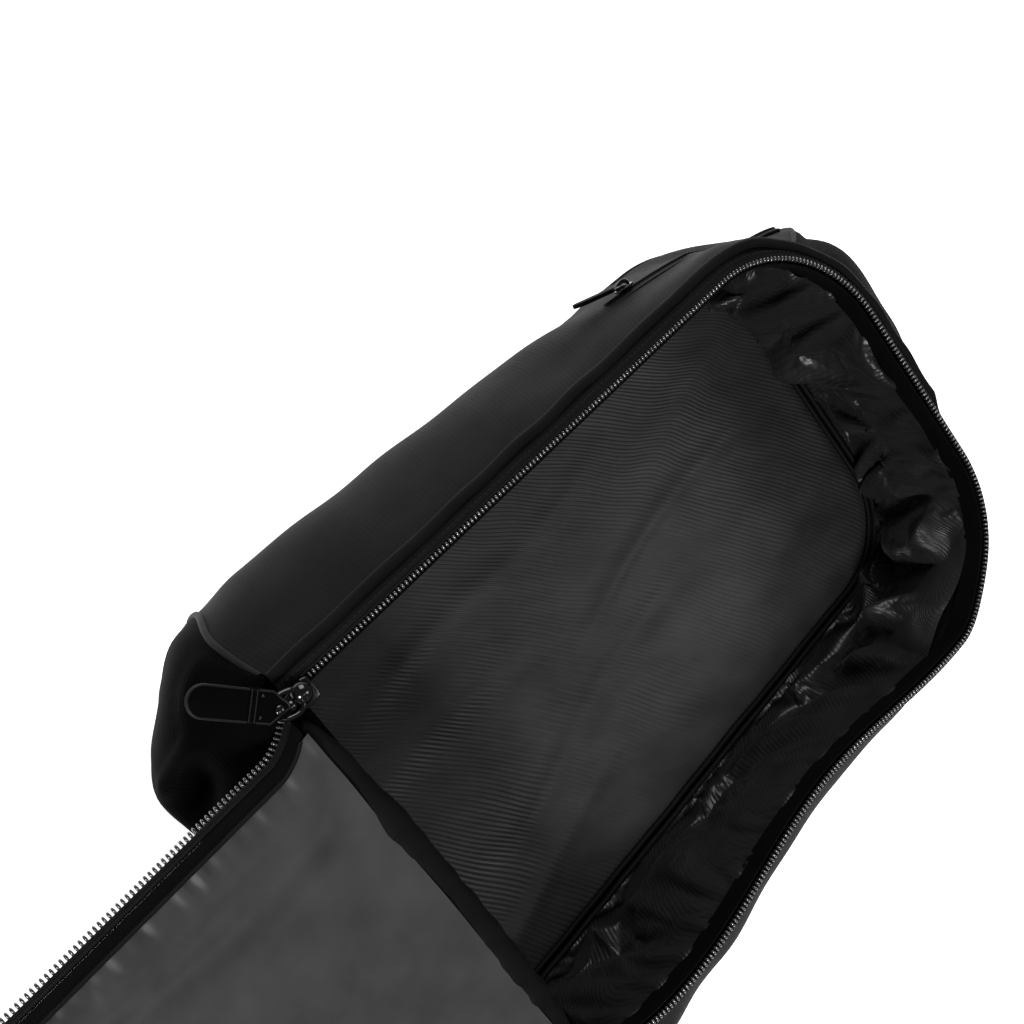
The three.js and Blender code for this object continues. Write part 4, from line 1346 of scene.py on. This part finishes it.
def build_bail(side, sign):
    ring = sweep("ring", loop_path(5.7, 13), circle(1.3, 10), METAL, hint=(0, 0, 1), closed=True)
    rivet = place_piece(dome(2.4, 1.1, METAL), (0, -12, 3.6))
    shank = soft_block("shank", circle(1.45, 14).tolist(), 0.6, 3.7, METAL, 0.2)
    bail = join(f"bail_{side}_loop", ring, rivet, shank)
    place_piece(bail, (sign * SLIDER[0], SLIDER[1], ZIP_Z + 6.5), sign * math.radians(18))
    part(bail, f"bail_{side}", "black_metal", f"bail_{side}")


def tab_outline(half, length, eye, inset=0.0, round_steps=14):
    """The pull tab: a rounded eye, straight sides and a round end."""
    half, eye = half - inset, eye - inset
    end_y = TAB["half"] + TAB["eye"] - length
    points = [(eye * math.cos(a), eye * math.sin(a)) for a in np.linspace(0.1, math.pi - 0.1, 8)]
    points.append((-half, -4.0))
    for a in np.linspace(math.pi, 2 * math.pi, round_steps):
        points.append((half * math.cos(a), end_y + half * math.sin(a)))
    return points + [(half, -4.0)]


def build_tab(side, sign):
    outline = tab_outline(TAB["half"], TAB["length"], TAB["eye"])
    hole = circle(1.75, 12)[::-1].tolist()
    strap = soft_block("strap", outline, 0.1, 1.9, RUBBER, 0.35, 2, hole)
    rim_line = np.array(tab_outline(TAB["half"], TAB["length"], TAB["eye"], 0.7, 26))
    path = stack(rim_line[:, 0], rim_line[:, 1], 1.85)
    # The raised rim takes the lighter rubber copy, a painted highlight.
    edge = sweep("edge", path[4:], circle(0.55, 8), TAB_RIM_PAINTED_HIGHLIGHT, closed=True)
    box = [(-8, -10.4), (8, -10.4), (8, -14.6), (-8, -14.6)]
    band = soft_block("band", box, 1.8, 2.35, RUBBER, 0.2)
    dots = [place_piece(dome(0.85, 0.7, METAL, "dot"), (x, -8.6, 1.9)) for x in (-4.6, 4.6)]
    rows = [
        stitches("row", stack(np.linspace(-7.2, 7.2, 12), y, 2.3), THREAD, 2.0)
        for y in (-11.3, -13.7)
    ]
    tab = join(f"pull_{side}_tab", strap, edge, band, *dots, *rows)
    eye = (sign * (SLIDER[0] + 3.7), SLIDER[1] - 10.6, ZIP_Z + 7.8)
    place_piece(tab, eye, sign * TAB["swing"])
    part(tab, f"pull_{side}", "pull_rubber", f"pull_tab_{side}")


# ---- Pieces on the side walls ----
def wall_matrix(sign, y, z):
    """A frame on a side wall: its Y runs along the wall and its Z points out of it."""

    def at(yy, zz):
        half, taper = (np.interp(zz, SECTION_Z, SECTION[key]) for key in ("half", "taper"))
        return Vector((sign * half * (1 - taper * yy / TAPER_REACH), yy, zz))

    along = (at(y + 10, z) - at(y - 10, z)).normalized()
    up = (at(y, z + 8) - at(y, z - 8)).normalized()
    out = (along.cross(up) * sign).normalized()
    columns = (along.cross(out), along, out)
    matrix = Matrix([[c[i] for c in columns] for i in range(3)]).to_4x4()
    matrix.translation = at(y, z) / 1000
    return matrix


def build_pocket_zip():
    place = np.linspace(*POCKET_PLACES, 140)

    def line(height, proud):
        return stack(*around(place, POCKET_Z + height, -proud), POCKET_Z + height)

    half = np.linspace(-POCKET_HALF, POCKET_HALF, 7)
    bow = 2.2 + 0.5 * np.cos(half / POCKET_HALF * math.pi / 2)
    tape = cloth("pocket_tape", np.stack([line(h, b) for h, b in zip(half, bow)]), TAPE, 0.6)
    part(tape, "bag_body", "zip_tape", "pocket_zip_tape")
    path = line(0, 3.6)
    points, along = spaced(path, 1.8)
    up = np.broadcast_to((0.0, 0.0, 1.0), points.shape)
    out = np.cross(along, up)
    teeth = beads("pocket_teeth", points, along, up, out, (0.62, 1.9, 0.95), THREAD)
    part(teeth, "bag_body", "zip_coil", "pocket_zip_coil")
    for name, height in (("low", -6.2), ("high", 6.2)):
        welt = sweep(f"pocket_welt_{name}", line(height, 2.2), circle(1.0, 8), TRIM)
        part(welt, "bag_body", "trim_cloth")


def build_pocket_pull():
    k = 0.62
    frame_at = wall_matrix(-1, POCKET_SLIDER_Y, POCKET_Z)
    lift = frame_at @ Matrix.Translation((0, 0, 0.0018))
    body = soft_block("plate", slider_shape(k), 1.9, 3.1, METAL, 0.4)
    cap = place_piece(dome(2.6, 2.4, METAL), (0, 0, 3.0))
    arch = np.linspace(0, math.pi, 13)
    bridge = stack(0, 3.9 * np.cos(arch), 2.8 + 3.0 * np.sin(arch) ** 0.6)
    loop = sweep("loop", bridge, slab(-1.3, 1.3, -0.45, 0.45, 0.3), METAL, hint=(1, 0, 0))
    slider = join("pocket_slider_body", body, cap, loop)
    slider.data.transform(lift)
    part(slider, "pocket_slider", "black_metal", "pocket_slider")
    ring = sweep("ring", loop_path(3.6, 8), circle(0.75, 8), METAL, hint=(0, 0, 1), closed=True)
    outline = [(x * 0.5, -7.4 + y * 0.62) for x, y in tab_outline(8.5, 46, 4.6)]
    strap = soft_block("strap", outline, -1.1, 1.1, RUBBER, 0.5, 2)
    pull = join("pocket_pull_cord", ring, strap)
    hang = Matrix.Translation((0, 0, 0.00403)) @ Matrix.Rotation(math.radians(-12), 4, "X")
    pull.data.transform(lift @ hang)
    part(pull, "pocket_pull", "pull_rubber", "pocket_pull_tab")


def build_handle():
    frame_at = wall_matrix(1, HANDLE["y"], HANDLE["z"])
    half, width, patch = HANDLE["half"], HANDLE["width"], HANDLE["patch"]
    inner = half - patch
    y = np.concatenate([np.linspace(-half, -inner, 8)[:-1], np.linspace(-inner, inner, 50)])
    y = np.concatenate([y, np.linspace(inner, half, 8)[1:]])
    share = np.clip((y + inner) / (2 * inner), 0, 1)
    rise = 3.4 + 13.5 * np.sin(math.pi * share) ** 0.8
    flat = slab(-width / 2, width / 2, -0.9, 0.9, 0.5)
    strap = sweep("strap", stack(0, y, rise), flat, WEBBING)
    strap.name = "carry_handle_webbing"
    strap.data.transform(frame_at)
    part(strap, "bag_body", "webbing", "carry_handle")
    for name, at in (("near", -half), ("far", half - patch)):
        box = [(-12.5, at), (12.5, at), (12.5, at + patch), (-12.5, at + patch)]
        square = soft_block(f"handle_patch_{name}_webbing", box, 0.8, 2.2, WEBBING, 0.4, 2)
        square.data.transform(frame_at)
        part(square, "bag_body", "webbing", f"handle_patch_{name}")
        low, high = at + 3, at + patch - 3
        corners = [(-10, low), (10, low), (10, high), (-10, high), (-10, low), (10, high)]
        corners = np.array(corners + [(10, low), (-10, high)], float)
        sides = zip(corners, corners[1:])
        path = np.concatenate([np.linspace(a, b, 8, endpoint=False) for a, b in sides])
        line = stack(path[:, 0], path[:, 1], 4.35)
        sewn = stitches(f"handle_stitches_{name}", line, THREAD, 2.8)
        sewn.data.transform(frame_at)
        part(sewn, "bag_body", "webbing")


# ---- Studio ----
def build_floor_stage():
    mesh = bpy.data.meshes.new("studio_floor")
    corners = [(-1, -1, 0), (1, -1, 0), (1, 1, 0), (-1, 1, 0)]
    corners = [tuple(STUDIO_HALF * c for c in corner) for corner in corners]
    mesh.from_pydata(corners, [], [(0, 1, 2, 3)])
    recipe = Recipe("studio_paper", 0.9, 0.9, 0.0, "Object")
    recipe.colour(0.9, 0.01, 400)
    recipe.set("Emission Color", (1, 1, 1, 1)).set("Emission Strength", 0.95)
    mesh.materials.append(recipe.material)
    floor = bpy.data.objects.new("studio_floor", mesh)
    bpy.context.scene.collection.objects.link(floor)
    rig.stage(floor)


def area_light(name, at, aim, size, power):
    """A soft rectangular light at one point, turned to another. Its power is in watts."""
    data = bpy.data.lights.new(name, "AREA")
    data.shape = "RECTANGLE"
    data.size, data.size_y = size
    data.energy = power
    light = bpy.data.objects.new(name, data)
    light.location = at
    direction = Vector(aim) - Vector(at)
    light.rotation_euler = direction.to_track_quat("-Z", "Y").to_euler()
    bpy.context.scene.collection.objects.link(light)


def build_light():
    world = bpy.data.worlds.new("studio")
    bpy.context.scene.world = world
    world.use_nodes = True
    backdrop = world.node_tree.nodes["Background"]
    backdrop.inputs["Color"].default_value = (1, 1, 1, 1)
    backdrop.inputs["Strength"].default_value = 0.16
    middle = (0, 0, 0.05)
    area_light("key", (0.80, 1.02, 1.75), middle, (0.6, 0.6), 9)
    area_light("lid", (0.46, -0.38, 1.6), (0, -0.3, 0.1), (0.6, 0.4), 2.4)
    area_light("side", (-1.2, 0.6, 1.0), middle, (1.0, 1.0), 19)
    area_light("front", (0.25, -1.45, 1.5), (0.05, 0.1, 0.05), (0.4, 0.4), 40)
    scene = bpy.context.scene
    scene.view_settings.view_transform = "Standard"
    scene.view_settings.look = "None"


def build_camera():
    """Looks down over the near-left corner, rolled so that the bag lies diagonally."""
    data = bpy.data.cameras.new("camera")
    data.sensor_width = 36
    data.lens = 52
    camera = bpy.data.objects.new("camera", data)
    forward = Vector((0.2531, 0.4115, -0.8756)).normalized()
    right = Vector((0.5836, 0.6569, 0.4774))
    right = (right - forward * right.dot(forward)).normalized()
    up = right.cross(forward)
    matrix = Matrix([[right[i], up[i], -forward[i]] for i in range(3)]).to_4x4()
    matrix.translation = Vector((-0.2855, -0.3330, 0.7231))
    camera.matrix_world = matrix
    bpy.context.scene.collection.objects.link(camera)
    bpy.context.scene.camera = camera


build_camera()
build_light()
build_floor_stage()
build_walls()
build_corner_pipings()
build_rim()
build_body_chain()
build_floor()
build_floor_binding()
build_wall_lining()
build_pocket_bag()
build_back()
build_lid()
build_lid_edges()
build_hinge()
for side, sign in (("left", -1), ("right", 1)):
    build_slider(side, sign)
    build_bail(side, sign)
    build_tab(side, sign)
build_pocket_zip()
build_pocket_pull()
build_handle()

boxes = {"cad": CAD_BOX, "visual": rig.bounds()}
with open("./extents.json", "w") as out_file:
    json.dump({name: [list(corner) for corner in box] for name, box in boxes.items()}, out_file)
